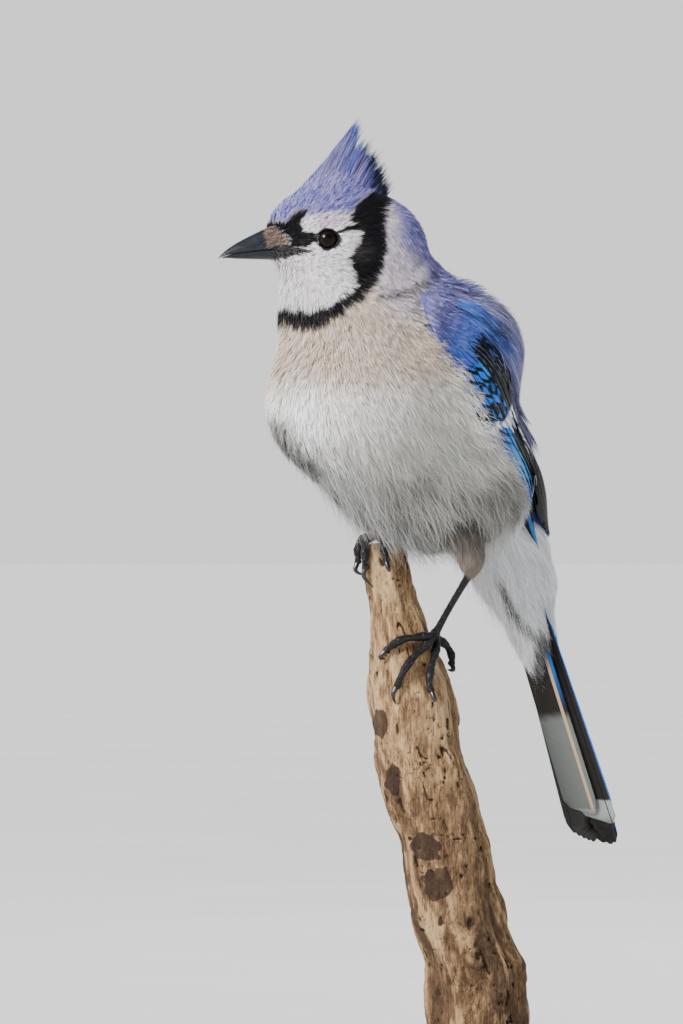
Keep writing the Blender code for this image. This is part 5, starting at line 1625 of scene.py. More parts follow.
def build_tail():
    """Twelve long feathers in two overlapping halves, the middle pair on top and longest."""
    chance = np.random.default_rng(17)
    stations = 34
    shares = np.linspace(0, 1, stations)
    side, up = BODY[1], -(TAIL_BELLY @ BODY)
    parts = []
    for pair in range(RECTRICES):
        for hand in (1, -1):
            # The right half is spread less and ends squarer
            length = TAIL_LENGTH - (1.2 * pair + 0.35 * pair**2 if hand > 0 else 0.5 * pair + 0.12 * pair**2)
            below = -1.6 + 0.85 * pair + (0.85 if pair else 0) + (0.85 if pair == 0 and hand < 0 else 0)
            below = below - (1.8 if hand < 0 else 0)
            # The left half closes over the right one, seen from below
            inner = (4.5, 0.8, 1.2, 1.8, 2.4, 6.2)[pair] if hand > 0 else (4.5, 0.4, 0.4, 0.4, 0.4, 0.4)[pair]
            # On the left the last but one feather shows its dark outer web beyond the last
            spread = (pair, pair, pair, pair, 5.2, 5.2)[pair] if hand > 0 else pair
            outer_edge = (5.4 + 0.6 * spread) + (9.0 + 1.2 * spread - 5.4 - 0.6 * spread) * shares
            if hand > 0 and pair == 5:
                outer_edge = 5.6 + 2.4 * shares
            outline = shape_of_vane(shares, 1.0, tip=0.07, root=0.3)
            half = (outer_edge + inner) / 2
            middle = (outer_edge - inner) / 2
            # The shaft runs near the outer edge, but in the middle pair
            lean = 0.0 if pair == 0 else 0.34 + 0.054 * pair
            shaft_at = middle + half * lean
            outer_width = half * (1 - lean) * outline
            inner_width = half * (1 + lean) * outline
            reach = 6 + (length - 6) * shares
            shaft = on_tail(reach, hand * shaft_at + 0.6, np.full(stations, below))
            sides = np.tile(side * hand, (stations, 1))
            ups = np.tile(up, (stations, 1))
            if hand > 0 and pair == 5:
                # The outermost feather tilts, its wide inner web under all the others
                shaft = shaft + TAIL_BELLY @ BODY * 0.9
                sides, ups = sides * 0.993 + ups * 0.12, ups * 0.993 - sides * 0.12
            looks = {"azure": -0.9 if pair == 0 else 0.12, "barred": 1.0, "spaced": 4.4}
            looks["tipped"] = (0.0, 0.0, 0.0, 0.0, 9.0, 1.6)[pair] if hand > 0 else 0.0
            looks["pale"] = 1.0 if pair == 5 and hand > 0 else 0.0
            looks["edged"] = 0.74 if hand > 0 and pair < 5 else (0.9 if hand < 0 else 0.06)
            ragged = 0.0 if pair == 5 else 0.05
            points, quads, numbers, place = vane(
                shaft, sides, ups, outer_width, inner_width, looks, chance, ragged=ragged
            )
            if hand < 0:
                quads = quads[:, ::-1]
            parts.append((points, quads, numbers, place))
    for start, end, count, lift in ((4, 34, 4, -3.4), (2, 22, 3, -4.3)):
        for index in range(count):
            offset = (index - (count - 1) / 2) * 3.4
            shares = np.linspace(0, 1, 12)
            middle = on_tail(start + (end - start) * shares, offset * (1 + 0.2 * shares), lift + 1.2 * shares)
            half = shape_of_vane(shares, 3.1, tip=0.4)
            sides = np.tile(side, (12, 1))
            ups = np.tile(up, (12, 1))
            looks = {"azure": -2.0, "violet": 0.3}
            parts.append(vane(middle, sides, ups, half, half, looks, chance))
    vanes = add_vanes("tail_vanes", parts, VANE_FINISH)
    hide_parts("tail")
    return vanes


VANE_FINISH = vane_finish()


# The crest

# Front to nape in the head frame: root and tip as (forward, up)
CREST_LINE = [
    ((15.0, 9), (1.0, 27.5)),
    ((12.0, 9), (-4.6, 34.0)),
    ((10.5, 9.5), (-8.6, 39.5)),
    ((6, 9.5), (-11.8, 43.2)),
    ((2, 9), (-14.4, 38.6)),
    ((-2, 8), (-18.4, 33.0)),
    ((-6, 6), (-21.4, 26.0)),
    ((-10, 4), (-23.6, 18.0)),
]


def coat_tree():
    """Points of the coat's grid, to find the ring and side under a feather's root."""
    flat = COAT.reshape(-1, 3)
    tree = kdtree.KDTree(len(flat))
    for index, place in enumerate(flat):
        tree.insert(place, index)
    tree.balance()
    return tree


COAT_TREE = coat_tree()


def bake_under(points):
    """Where roots lie on the unwrapped skin."""
    index = np.array([COAT_TREE.find(point)[1] for point in points])
    return bake_place(*np.divmod(index, SIDES))


def crest_marks(places, tufts):
    """Lilac in the middle of the crest, clearer blue at its tip and nearly black along its ragged rear edge."""
    head = in_head(places)
    marks = no_marks(len(places))
    forward, up = head[:, 0], head[:, 2]
    # How far a place lies ahead of the line from the peak down to the nape
    ahead = (forward + 10.0) * 0.917 - (up - 42) * 0.399 + 0.9 * drift(places, 2.0, 5)
    streak = 0.5 + 0.5 * np.sin(tufts * 2.399)
    depth = np.interp(up, [10, 18, 30, 42], [7.5, 6.6, 4.2, 1.6])
    rear = fade(1.0, -1.2, ahead - depth)
    marks["blue"] += 1
    marks["clear"] = np.clip(0.9 * fade(9, 3, ahead) * fade(10, 20, up) + 1.0 * fade(30, 38, up), 0, 1)
    marks["lilac"] = np.clip(0.5 * fade(3, 8, ahead) * fade(37, 28, up) + 0.6 * (streak - 0.5), 0, 1)
    marks["black"] = np.clip(0.94 * rear * fade(42, 33, up) + 0.30 * (streak > 0.85) + 0.3 * fade(32, 40, up), 0, 0.95)
    return marks


def build_crest():
    """Long narrow feathers that fan up and back from the crown and close to a thin ragged peak."""
    chance = np.random.default_rng(23)
    line = np.array(CREST_LINE, float).reshape(len(CREST_LINE), 4)
    parts = []
    for hand in (1, -1):
        count = 230
        front = np.sort(np.append(chance.random(count - 30), 0.34 + 0.16 * chance.random(30)))
        layer = chance.random(count) ** 0.8
        layer = np.where((front > 0.34) & (front < 0.5) & (chance.random(count) < 0.5), layer * 0.2, layer)
        where = front * (len(line) - 1)
        ends = np.stack([np.interp(where, np.arange(len(line)), line[:, k]) for k in range(4)], axis=-1)
        ends[:, :2] += chance.normal(0, 0.5, (count, 2))
        size = 1.01 - 0.32 * layer**1.3 * chance.random(count) - 0.08 * chance.random(count) ** 2
        root_b = hand * layer * (1.6 + 7.0 * front)
        tip_b = hand * (0.15 + layer * (0.9 + 2.6 * front))
        # The crown falls away to the side
        ends[:, 1] -= 0.055 * root_b**2
        shares = np.linspace(0, 1, 6)
        bow = np.sin(shares * math.pi)
        reach = shares[None] * size[:, None]
        curl = 0.5 + 0.6 * chance.random((count, 1))
        forward = ends[:, :1] + (ends[:, 2:3] - ends[:, :1]) * reach + bow * 0.9 * curl
        up = ends[:, 1:2] + (ends[:, 3:] - ends[:, 1:2]) * reach + bow * 1.0 * curl
        left = root_b[:, None] + (tip_b - root_b)[:, None] * reach**0.8 + hand * bow * 0.6
        left = left + chance.normal(0, 0.25, (count, 1)) * shares
        paths = from_head(np.stack([forward, up * 0 + left, up], axis=-1))
        run = unit(np.gradient(paths, axis=1))
        outward = unit(HEAD[1] * hand + 0.2 * HEAD[2] + chance.normal(0, 0.12, (count, 1, 3)))
        normals = unit(outward - run * np.sum(outward * run, axis=-1, keepdims=True))
        half = (0.9 + 0.45 * chance.random(count)) * (1 + 0.3 * front)
        place = bake_under(paths[:, 0])
        parts.append(
            barbed(paths, normals, half, 15, np.full(count, 0.24), crest_marks, place, chance, loose=0.16, spread=0.8)
        )
    return add_coat("crest_feathers", COAT_FINISH, parts)


# Eyes, lids and bill


def round_eye(hand, name):
    """An eye with its clear front, its iris marked by the distance from the middle of the pupil."""
    centre, aim = EYES[hand]
    across = unit(np.cross(aim, HEAD[2]))
    up = np.cross(across, aim)
    rows, columns = 44, 56
    polar = np.linspace(0.015, math.pi - 0.015, rows)
    turns = np.arange(columns) / columns * 2 * math.pi
    radius = EYE_RADIUS + 0.2 * np.exp(-((polar / 0.5) ** 2))
    ring = np.cos(turns)[:, None] * across + np.sin(turns)[:, None] * up
    points = centre + radius[:, None, None] * (
        np.cos(polar)[:, None, None] * aim + np.sin(polar)[:, None, None] * ring[None]
    )
    points = np.vstack([points.reshape(-1, 3), centre + aim * (EYE_RADIUS + 0.2), centre - aim * EYE_RADIUS])
    count = rows * columns
    quads = grid_faces(rows, columns, wrap=True)[:, ::-1]
    caps = np.vstack(
        [
            fan_faces(np.arange(columns), count),
            fan_faces(np.arange(count - columns, count), count + 1, turned=True),
        ]
    )
    numbers = {
        "from_pupil": np.append(np.repeat(polar * EYE_RADIUS, columns), [0, 13]),
        "round_pupil": np.append(np.tile(np.abs(np.sin(turns * 0.5)), rows), [0, 0]),
    }
    piece = mesh_piece(name + "_ball", points, [quads, caps], EYE_FINISH, numbers)
    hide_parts(name)
    return piece


def eye_finish():
    """A black pupil in a dark brown iris under a clear wet front."""
    made = Finish("wet_eye", Roughness=0.3, Coat_Weight=0.4, Coat_Roughness=0.02, Coat_IOR=1.33, Specular_IOR_Level=0.05)
    away = made.stored("from_pupil")
    streak = made.noise(30.0, 2.0, 0.6, where=made.made_place(made.stored("round_pupil") * 9.0, away * 0.12))
    iris = made.mix((streak * 1.2 - 0.1).step(0.2, 0.8), (0.004, 0.002, 0.0015), (0.014, 0.006, 0.0035))
    iris = made.mix(away.step(2.3, 3.3), iris, (0.006, 0.004, 0.004))
    made.colour(made.mix(away.step(1.95, 1.65), iris, (0.0015, 0.0015, 0.0018)))
    return made.material


LID_PROFILE = [(4.3, 2.2), (4.15, 2.9), (3.95, 3.3), (3.75, 3.45), (3.58, 3.38), (3.46, 3.1), (3.38, 2.7), (3.3, 2.2)]


def lid_rim(hand, name):
    """The bare wrinkled rim round an eye, a little drawn out at its two corners."""
    centre, aim = EYES[hand]
    across = unit(np.cross(aim, HEAD[2])) * -hand
    up = unit(np.cross(across, aim))
    up = up if up[2] > 0 else -up
    columns = 96
    turns = np.arange(columns) / columns * 2 * math.pi
    profile = smooth_path(np.array([(r, h, 0) for r, h in LID_PROFILE]), 22)
    chance = np.random.default_rng(5)
    crease = 0.05 * np.sin(turns * 34 + chance.normal(0, 0.6, columns)) + 0.03 * chance.normal(0, 1, columns)
    corner = 1 + 0.07 * np.exp(-((np.abs(np.cos(turns)) - 1) ** 2) / 0.02)
    lower = 1 - 0.05 * np.clip(np.abs(np.sin(turns)), 0, 1)
    rings = []
    for radius, height, _ in profile:
        ridge = crease * math.exp(-(((radius - 3.85) / 0.5) ** 2))
        size = (radius + ridge * 0.4) * np.where(radius > 3.35, corner * lower, lower)
        out = height + ridge
        rings.append(
            centre + aim * out[:, None] + (size * np.cos(turns))[:, None] * across + (size * np.sin(turns))[:, None] * up
        )
    points = np.vstack(rings)
    rows = len(profile)
    quads = grid_faces(rows, columns, wrap=True)
    inner, outer = np.arange(columns) + (rows - 1) * columns, np.arange(columns)
    after = np.roll(inner, -1)
    quads = np.vstack([quads, np.stack([inner, after, np.roll(outer, -1), outer], axis=-1)])
    numbers = {"rim": np.repeat(np.linspace(0, 1, rows), columns)}
    return mesh_piece(name, points, [quads], LID_FINISH, numbers)


def lid_finish():
    """Bare black skin with fine creases."""
    made = Finish("lid_skin", Roughness=0.55, Specular_IOR_Level=0.25)
    fine = made.noise(2200.0, 3.0, 0.6)
    made.colour(made.mix(fine.step(0.35, 0.8), (0.003, 0.003, 0.0035), (0.014, 0.013, 0.014)))
    made.roughness(fine * 0.25 + 0.35)
    made.bump(fine, 0.00012, 0.7)
    return made.material


# The bill from its root to its tip in the head frame: forward, culmen, mouth line, underside and half width
BILL = [
    (17.0, 5.4, -2.6, -7.1, 4.7),
    (20.0, 5.8, -2.7, -7.2, 4.8),
    (24.0, 4.4, -2.9, -7.1, 4.3),
    (28.0, 2.9, -3.1, -6.8, 3.6),
    (32.0, 1.2, -3.4, -6.5, 2.9),
    (36.0, -0.7, -3.9, -6.2, 2.1),
    (39.5, -2.8, -4.6, -5.8, 1.3),
    (42.0, -4.8, -5.4, -5.8, 0.6),
]


def bill_rows(count):
    """The bill's table read at more stations."""
    table = np.array(BILL)
    where = np.linspace(0, 1, count) ** 0.85 * (len(table) - 1)
    rows = np.stack([smooth_path(np.stack([table[:, k]] * 3, axis=-1), 400)[:, 0] for k in range(5)], axis=-1)
    return np.stack([np.interp(where, np.linspace(0, len(table) - 1, 400), rows[:, k]) for k in range(5)], axis=-1)


def bill_half(name, upper):
    """The upper or the lower half of the bill, with its sharp cutting edge."""
    sides, rows = 40, bill_rows(46)
    rows = rows if upper else rows[:-2]
    turns = np.arange(sides) / sides * 2 * math.pi
    rings = []
    for forward, culmen, mouth, underside, width in rows:
        across = np.cos(turns)
        outward = np.sin(turns) if upper else -np.sin(turns)
        share = np.maximum(0, outward)
        base, crown = (mouth, culmen) if upper else (mouth - GAP, underside)
        # A narrow ridge along the culmen, and a slight hollow above the cutting edge
        ridge = 0.9 if upper else 0.7
        place = base + (crown - base) * np.where(share > 0, share**ridge, 0)
        if upper:
            # The sharp edge of the upper half closes a little over the lower one
            place = place - 0.5 * min(1, (42 - forward) / 8) * np.where(share > 0, (1 - share) ** 6, np.abs(across) ** 8)
        inset = np.where(outward < 0, 0.93, 1 - 0.14 * share**1.5 + 0.035 * np.sin(share * math.pi * 2))
        local = np.stack([np.full(sides, forward), (width if upper else width * 0.9) * across * inset, place], axis=-1)
        rings.append(from_head(local))
    tip = from_head([43.0, 0, -6.1]) if upper else from_head([41.3, 0, -5.75])
    back = rings[0].mean(axis=0)
    count = len(rings) * sides
    points = np.vstack(rings + [back, tip])
    quads = grid_faces(len(rings), sides, wrap=True)
    caps = np.vstack(
        [
            fan_faces(np.arange(sides), count, turned=True),
            fan_faces(np.arange(count - sides, count), count + 1),
        ]
    )
    local = in_head(points)
    edge = np.abs(local[:, 2] - np.interp(local[:, 0], rows[:, 0], rows[:, 2]))
    numbers = {"along_bill": (local[:, 0] - 17) / 26, "from_edge": edge, "round_bill": np.abs(local[:, 1])}
    piece = mesh_piece(name + "_horn", points, [quads[:, ::-1], caps[:, ::-1]], BILL_FINISH, numbers)
    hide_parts(name)
    return piece


def bill_finish():
    """Black horn with a worn sheen, fine lengthwise lines and paler cutting edges."""
    made = Finish("bill_horn", Roughness=0.34, Specular_IOR_Level=0.26, Coat_Weight=0.12, Coat_Roughness=0.14)
    along, edge, side = made.stored("along_bill"), made.stored("from_edge"), made.stored("round_bill")
    line = made.noise(3.0, 3.0, 0.6, where=made.made_place(along * 2.0, edge * 2.4, side * 2.4))
    wear = made.noise(420.0, 3.0)
    tone = made.mix((line * 0.7 + wear * 0.5).step(0.3, 0.95), (0.004, 0.0048, 0.0065), (0.018, 0.024, 0.034))
    tone = made.mix(edge.step(0.4, 0.05) * 0.3, tone, (0.035, 0.035, 0.038))
    tone = made.mix(along.step(0.9, 1.0) * 0.4, tone, (0.06, 0.06, 0.06))
    made.colour(tone)
    made.roughness(wear * 0.22 + line * 0.12 + 0.16)
    made.bump(line + wear * 0.4, 0.0001, 0.5)
    return made.material


def on_bill(forward, turn, lift):
    """World points over the bill. turn is 0 at its side and a quarter round at its top, negative below."""
    table = np.array(BILL)
    culmen, mouth, low, width = (np.interp(forward, table[:, 0], table[:, k]) for k in (1, 2, 3, 4))
    high = np.where(turn > 0, culmen, low)
    reach = np.abs(np.sin(turn))
    side = (width * (1 - 0.14 * reach**1.5) + lift) * np.cos(turn)
    up = mouth + (high - mouth) * reach + lift * np.sin(turn)
    return side, up


def build_bristles():
    """Stiff brown and black bristles that lie forward over the nostrils, and dark ones along the gape and chin."""
    chance = np.random.default_rng(61)
    shares = np.linspace(0, 1, 5)
    parts = []
    for hand in (1, -1):
        for count, turns, start, length, proud, tone in (
            (170, (0.24, 0.9), (17.0, 22.5), (4.5, 8.0), (1.2, 2.4), "tan"),
            (110, (0.9, 1.57), (16.0, 20.4), (2.8, 4.6), (0.9, 1.9), "black"),
            (26, (-0.35, 0.1), (14.6, 17.0), (2.6, 5.0), (0.3, 0.8), "black"),
            (46, (-1.5, -0.5), (15.0, 17.6), (2.0, 4.0), (0.4, 1.6), "chin"),
        ):
            turn = turns[0] + (turns[1] - turns[0]) * chance.random(count)
            begin = start[0] + (start[1] - start[0]) * chance.random(count)
            size = length[0] + (length[1] - length[0]) * chance.random(count)
            over = proud[0] + (proud[1] - proud[0]) * chance.random(count)
            if tone == "tan":
                # The bristles over the nostril end in one rounded tuft
                size = np.minimum(size, 27.8 - 2.0 * np.abs(turn - 0.55) - begin)
            forward = begin[:, None] + size[:, None] * shares
            bend = turn[:, None] + (chance.normal(0, 0.1, (count, 1)) - 0.12) * shares
            lift = 0.2 + over[:, None] * (0.35 + 0.65 * np.sin(shares * 2.4)) + 0.3 * shares
            side, up = on_bill(forward, bend, lift)
            paths = from_head(np.stack([forward, side * hand, up], axis=-1))
            run = unit(np.gradient(paths, axis=1))
            middle = from_head(np.stack([forward, 0 * side, 0 * up - 1.5], axis=-1))
            normals = unit(paths - middle)
            normals = unit(normals - run * np.sum(normals * run, axis=-1, keepdims=True))
            marks = no_marks(count)
            if tone == "tan":
                marks["tan"] += 0.95
                marks["black"] += 0.45 * (chance.random(count) < 0.25)
                marks["buff"] += 0.6
            elif tone == "black":
                marks["black"] += 1.0
            else:
                marks["grey"] += 0.5
                marks["black"] += 0.8 * (chance.random(count) < 0.3)
            place = bake_under(paths[:, 0])
            half = np.full(count, 0.55)
            parts.append(barbed(paths, normals, half, 6, np.full(count, 0.15), marks, place, chance, loose=0.22))
    return add_coat("bristles", COAT_FINISH, parts)


# Loose hair-like feathers over the coat


def grown_loose(name, density, chance, slot="breast_feathers", **looks):
    """A piece of loose tufts where density is above nothing."""
    ring, side = scatter(density, chance)
    return add_coat(name, COAT_FINISH, [grown(ring, side, chance, **looks)])


def build_loose():
    """Hair over the wings' front edges, the ragged lower edge of the belly, the chin and the silk under the tail."""
    chance = np.random.default_rng(90)
    middle, turn = cell_places()
    flat = middle.reshape(-1, 3)
    head = in_head(flat).reshape(middle.shape)
    body = in_body(flat).reshape(middle.shape)
    dorsal = np.abs((turn + math.pi) % (2 * math.pi) - math.pi)
    along, across, gap = (item.reshape(turn.shape) for item in wing_under(flat))
    flush = np.abs(coat_distance(flat)).reshape(turn.shape)
    beside = np.sqrt(np.maximum(gap**2 - flush**2, 0))
    up = head[..., 2]
    off_head = up < -30
    front = across < 0.3
    flank = np.where(off_head & front & (beside < 15) & (along < 0.74), 0.3 + 0.4 * fade(12, 4, beside), 0.0)
    flank = flank * fade(0.0, 0.1, along + 0.04) * (across < 0.03) * fade(0.7, 0.5, along)
    grown_loose("flank_hair", flank, chance, barbs=12, thick=0.19, loose=0.4, swirl=0.24, longer=1.25,
                push=(-0.65, 0.0, -0.1), proud_by=0.3, scatter_proud=1.2, open_wide=1.3, light=True)
    belly = (body[..., 2] < -6) & (dorsal < 1.5) & (body[..., 0] > -46)
    fringe = np.where(belly, 0.22 * fade(-4, -24, body[..., 2]), 0.0)
    grown_loose("belly_hair", fringe, chance, barbs=9, thick=0.17, loose=0.5, swirl=0.34, longer=1.7, droop=0.5,
                proud_by=0.3, scatter_proud=2.6, open_wide=1.3, hang=11.0, light=True)
    chest = off_head & (dorsal < 1.7) & ~belly
    grown_loose("breast_hair", np.where(chest, 0.13, 0.0), chance, barbs=9, thick=0.18, loose=0.4, swirl=0.2,
                longer=1.5, proud_by=0.2, scatter_proud=1.5, open_wide=1.3, hang=1.5, light=True)
    silk = (body[..., 2] < -34) & (body[..., 0] < -30) & (dorsal < 2.2)
    grown_loose("undertail_silk", np.where(silk, 0.34, 0.0), chance, barbs=15, thick=0.22, loose=0.12, swirl=0.1,
                longer=1.7, proud_by=0.2, scatter_proud=0.8)
    chin = (head[..., 0] > 7) & (up < -6) & (up > -24)
    grown_loose("chin_hair", np.where(chin, 0.8, 0.0), chance, barbs=5, thick=0.15, loose=0.4, swirl=0.25,
                longer=1.25, proud_by=0.2, scatter_proud=1.1, hang=1.5)
    cheek = (head[..., 0] < 6) & (head[..., 0] > -22) & (up > -26) & (up < 8)
    grown_loose("cheek_hair", np.where(cheek, 0.5, 0.0), chance, barbs=6, thick=0.15, loose=0.35, swirl=0.18,
                longer=1.35, proud_by=0.15, scatter_proud=0.5)
    rear = off_head & (dorsal > 1.7) & (body[..., 0] > -44) & ~(under_wing(middle) > 0)
    grown_loose("mantle_hair", np.where(rear, 0.16, 0.0), chance, slot="blue_feathers", barbs=11, thick=0.2, loose=0.3,
                swirl=0.2, longer=1.5, proud_by=0.1, scatter_proud=1.0, cover_share=0.3)


def build_thigh():
    """Short brown feathers down the upper leg, ending in a cuff at the heel."""
    chance = np.random.default_rng(33)
    path = THIGH
    run = unit(path[-1] - path[-4])
    path = np.vstack([path, path[-1] + run * 0.4, path[-1] + run * 0.8])
    along = unit(np.gradient(path, axis=0))
    side = unit(np.cross(along, BODY[1]))
    other = np.cross(along, side)
    count = 640
    start = 8 + 50 * np.sqrt(chance.random(count))
    turn = chance.random(count) * 2 * math.pi
    size = (6.5 + 2.0 * chance.random(count)) / (np.linalg.norm(path[59] - path[0]) / 59)
    shares = np.linspace(0, 1, 5)
    where = np.minimum(start[:, None] + size[:, None] * shares, 61)
    slip = turn[:, None] + chance.normal(0, 0.14, (count, 1)) * shares

    def read(table):
        table = table.reshape(len(table), -1)
        values = [np.interp(where, np.arange(len(table)), table[:, k]) for k in range(table.shape[1])]
        return np.stack(values, axis=-1)

    normals = unit(np.cos(slip)[..., None] * read(side) + np.sin(slip)[..., None] * read(other))
    plump = np.interp(where, [0, 40, 50, 56, 59, 61], [8.0, 5.6, 5.0, 4.0, 2.4, 1.7])
    reach = plump - 0.9 * (1 - shares) + 0.9 * chance.random((count, 1)) * shares
    paths = read(path) + normals * reach[..., None]
    marks = no_marks(count)
    marks["thigh"] += 1.0
    # Painted shade at the top of the thigh where it goes under the belly, and random darker tufts
    marks["dusk"] = 0.75 * fade(40, 20, start) + 0.45 * chance.random(count) ** 1.5
    place = np.stack([0.006 + 0.008 * turn / 6.3, 0.1 + 0.2 * start / 60], axis=-1)
    part = barbed(paths, normals, np.full(count, 1.5), 12, np.full(count, 0.18), marks, place, chance, loose=0.34)
    return add_coat("thigh_tufts", COAT_FINISH, [part])


# The branch


def branch_middle(height):
    """X and Y of the branch's middle at a height above the floor."""
    heights = [18, 29.5, 43.2, 57.2, 72.4, 87.5, 108, 122, 138, 145.4, 159.8, 174.2, 188.6, 197]
    xs = [7.2, 6.1, 4.9, 0, -3.8, -5.8, -12.2, -15.3, -16.9, -18.2, -21.2, -24.3, -27, -27.4]
    return np.interp(height, heights, xs), 1.5 * np.sin(np.asarray(height) / 37.0)


def branch_radius(height, turn):
    """Radius of the branch at a height, turn radians round from the viewer's side."""
    heights = [18, 29.5, 43.2, 57.2, 72.4, 87.5, 108, 122, 138, 145.4, 159.8, 174.2, 188.6, 197]
    sizes = [18.2, 18, 18.5, 17.1, 16, 16.4, 16.6, 16, 15.5, 14.6, 11.2, 8.8, 8.3, 7.9]
    base = np.interp(height, heights, sizes)
    height = np.asarray(height, float)
    ridges = 0.035 * np.sin(3 * turn + height / 19.0) + 0.025 * np.sin(7 * turn - height / 31.0)
    knots = 0.03 * np.sin(height / 6.1 + 2 * turn) + 0.02 * np.sin(height / 3.4 - 3 * turn)
    return base * (1 + ridges + knots)


def on_branch(height, turn, clear=0.0):
    """World point clear of the branch's surface by a distance. turn is in degrees, 0 facing the viewer."""
    turn = math.radians(turn)
    x, y = branch_middle(height)
    radius = float(branch_radius(height, turn)) + clear
    return np.array([x + radius * math.sin(turn), y - radius * math.cos(turn), height])


# Dark stains as (x, height, half width, half height) on the viewer's side and two more behind
STAINS = [(-29, 130, 2.6, 5.2, -1), (-24.3, 110, 2.8, 6.0, -1), (-12.2, 85.7, 5.6, 5.0, -1), (-8.1, 72.5, 5.0, 6.2, -1),
          (-6, 118, 4.5, 7.0, 1), (6, 60, 5.5, 6.0, 1)]
KNOT = (6.3, 47.5)
BRANCH_LOW, BRANCH_TOP = 18.0, 194.2


def build_branch():
    """Weathered dead wood: raised grain, cracks along and across it, stains and a knot."""
    rows, columns = 360, 156
    heights = np.linspace(BRANCH_LOW, BRANCH_TOP, rows)
    turns = np.arange(columns) / columns * 2 * math.pi
    height, turn = (item.ravel() for item in np.meshgrid(heights, turns, indexing="ij"))
    x, y = branch_middle(height)
    base = branch_radius(height, turn)
    out = np.stack([np.sin(turn), -np.cos(turn), np.zeros(len(turn))], axis=-1)
    local = np.stack([base * out[:, 0], base * out[:, 1], height], axis=-1)
    world_x = x + base * out[:, 0]
    facing = out[:, 1] < 0.15
    from_knot = np.hypot(world_x - KNOT[0], (height - KNOT[1]) * 0.8)
    from_knot = np.where(facing, from_knot, 99.0)
    swirl = np.exp(-((from_knot / 9.0) ** 2))
    grain = local * np.array([1, 1, 0.16])
    grain[:, 0] += 1.6 * drift(local * [1, 1, 0.5], 9.0, 11) + 3.0 * swirl * np.sin(from_knot * 0.5)
    grain[:, 1] += 1.6 * drift(local * [1, 1, 0.5], 9.0, 12)
    lumps = drift(local, 11.0, 13)
    furrow = drift(grain, 4.2, 14)
    fibre = drift(grain * [1, 1, 1.6], 1.5, 15)
    fine = drift(grain * [1, 1, 2.2], 0.8, 16)
    split = np.abs(drift(grain * [1, 1, 0.8], 3.4, 17))
    crack = fade(0.10, 0.015, split) * fade(0.05, 0.4, drift(local, 7.5, 18))
    cross = np.abs(drift(local * [1, 1, 1.4], 2.6, 19) + 0.3 * drift(local, 1.2, 20))
    crack = np.maximum(crack, fade(0.07, 0.01, cross) * fade(0.25, 0.6, drift(local, 6.0, 21)))
    pit = fade(0.62, 0.86, drift(local * [1, 1, 0.7], 2.3, 22))
    crack = np.maximum(crack, pit)
    rings = np.cos(from_knot * 3.4 + 1.5 * drift(local, 3.0, 23)) * np.exp(-((from_knot / 4.6) ** 2))
    hollow = np.exp(-((from_knot / 1.3) ** 2))
    mouth = np.exp(-(((world_x - 4.0) / 1.7) ** 2) - (((height - 58.5) / 2.6) ** 2)) * facing
    stain = np.zeros(len(turn))
    for px, pz, wide, tall, way in STAINS:
        edge = np.hypot((world_x - px) / wide, (height - pz) / tall) + 0.28 * drift(local, 2.4, 24)
        stain = np.maximum(stain, fade(1.12, 0.9, edge) * (out[:, 1] * way > -0.2))
    detail = 0.42 * lumps + 0.40 * furrow + 0.34 * fibre + 0.26 * fine + 0.3 * rings + 0.25 * stain
    detail = detail - 0.85 * crack - 1.0 * hollow - 2.2 * mouth - 0.25
    # No bump stands into the toes
    at_toes = np.maximum(fade(132, 140, height) * fade(168, 163, height), fade(176, 182, height))
    detail = np.where(at_toes > 0, np.minimum(detail, 0.35 * (1 - at_toes) + 0.15), detail)
    detail = detail * fade(BRANCH_LOW - 0.5, BRANCH_LOW + 1.2, height)
    surface = np.stack([x, y, height], axis=-1) + out * (base + detail)[:, None]
    # The broken top: three more rings step in to a splintered crown
    top_rows = []
    for shrink in (0.92, 0.8, 0.62, 0.42, 0.2):
        ring = surface[-columns:].copy()
        centre = np.append(branch_middle(BRANCH_TOP), BRANCH_TOP)
        ring[:, :2] = centre[:2] + (ring[:, :2] - centre[:2]) * shrink
        splinter = drift(ring * [1, 1, 0], 1.5, 25) + 0.6 * drift(ring * [1, 1, 0], 4.0, 26)
        ring[:, 2] = BRANCH_TOP + 0.35 + 0.4 * splinter
        top_rows.append(ring)
    points = np.vstack([surface] + top_rows)
    total = rows + len(top_rows)
    count = total * columns
    low = np.append(branch_middle(BRANCH_LOW), BRANCH_LOW)
    high = top_rows[-1].mean(axis=0)
    points = np.vstack([points, low, high])
    quads = grid_faces(total, columns, wrap=True)
    caps = np.vstack(
        [
            fan_faces(np.arange(columns), count, turned=True),
            fan_faces(np.arange(count - columns, count), count + 1),
        ]
    )
    extra = len(top_rows) * columns + 2
    # Darker towards the bottom, painted shade down the left edge that faces the viewer, and darker wood round the knot
    fade_up = fade(150, 60, height)
    ridge = fade(-0.1, 0.7, fibre * 0.6 + furrow * 0.7)
    left = fade(-0.45, -0.95, out[:, 0]) * facing
    numbers = {
        "crack": np.append(np.clip(crack + hollow + mouth, 0, 1), np.zeros(extra)),
        "stain": np.append(stain, np.zeros(extra)),
        "ridge": np.append(ridge, np.full(extra, 0.5)),
        "weathered": np.append(np.clip(0.35 * fade_up + 0.3 * left + 0.35 * swirl, 0, 1), np.zeros(extra)),
    }
    piece = mesh_piece("weathered_branch", points, [quads, caps], WOOD_FINISH, numbers)
    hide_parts("perch_branch")
    return piece


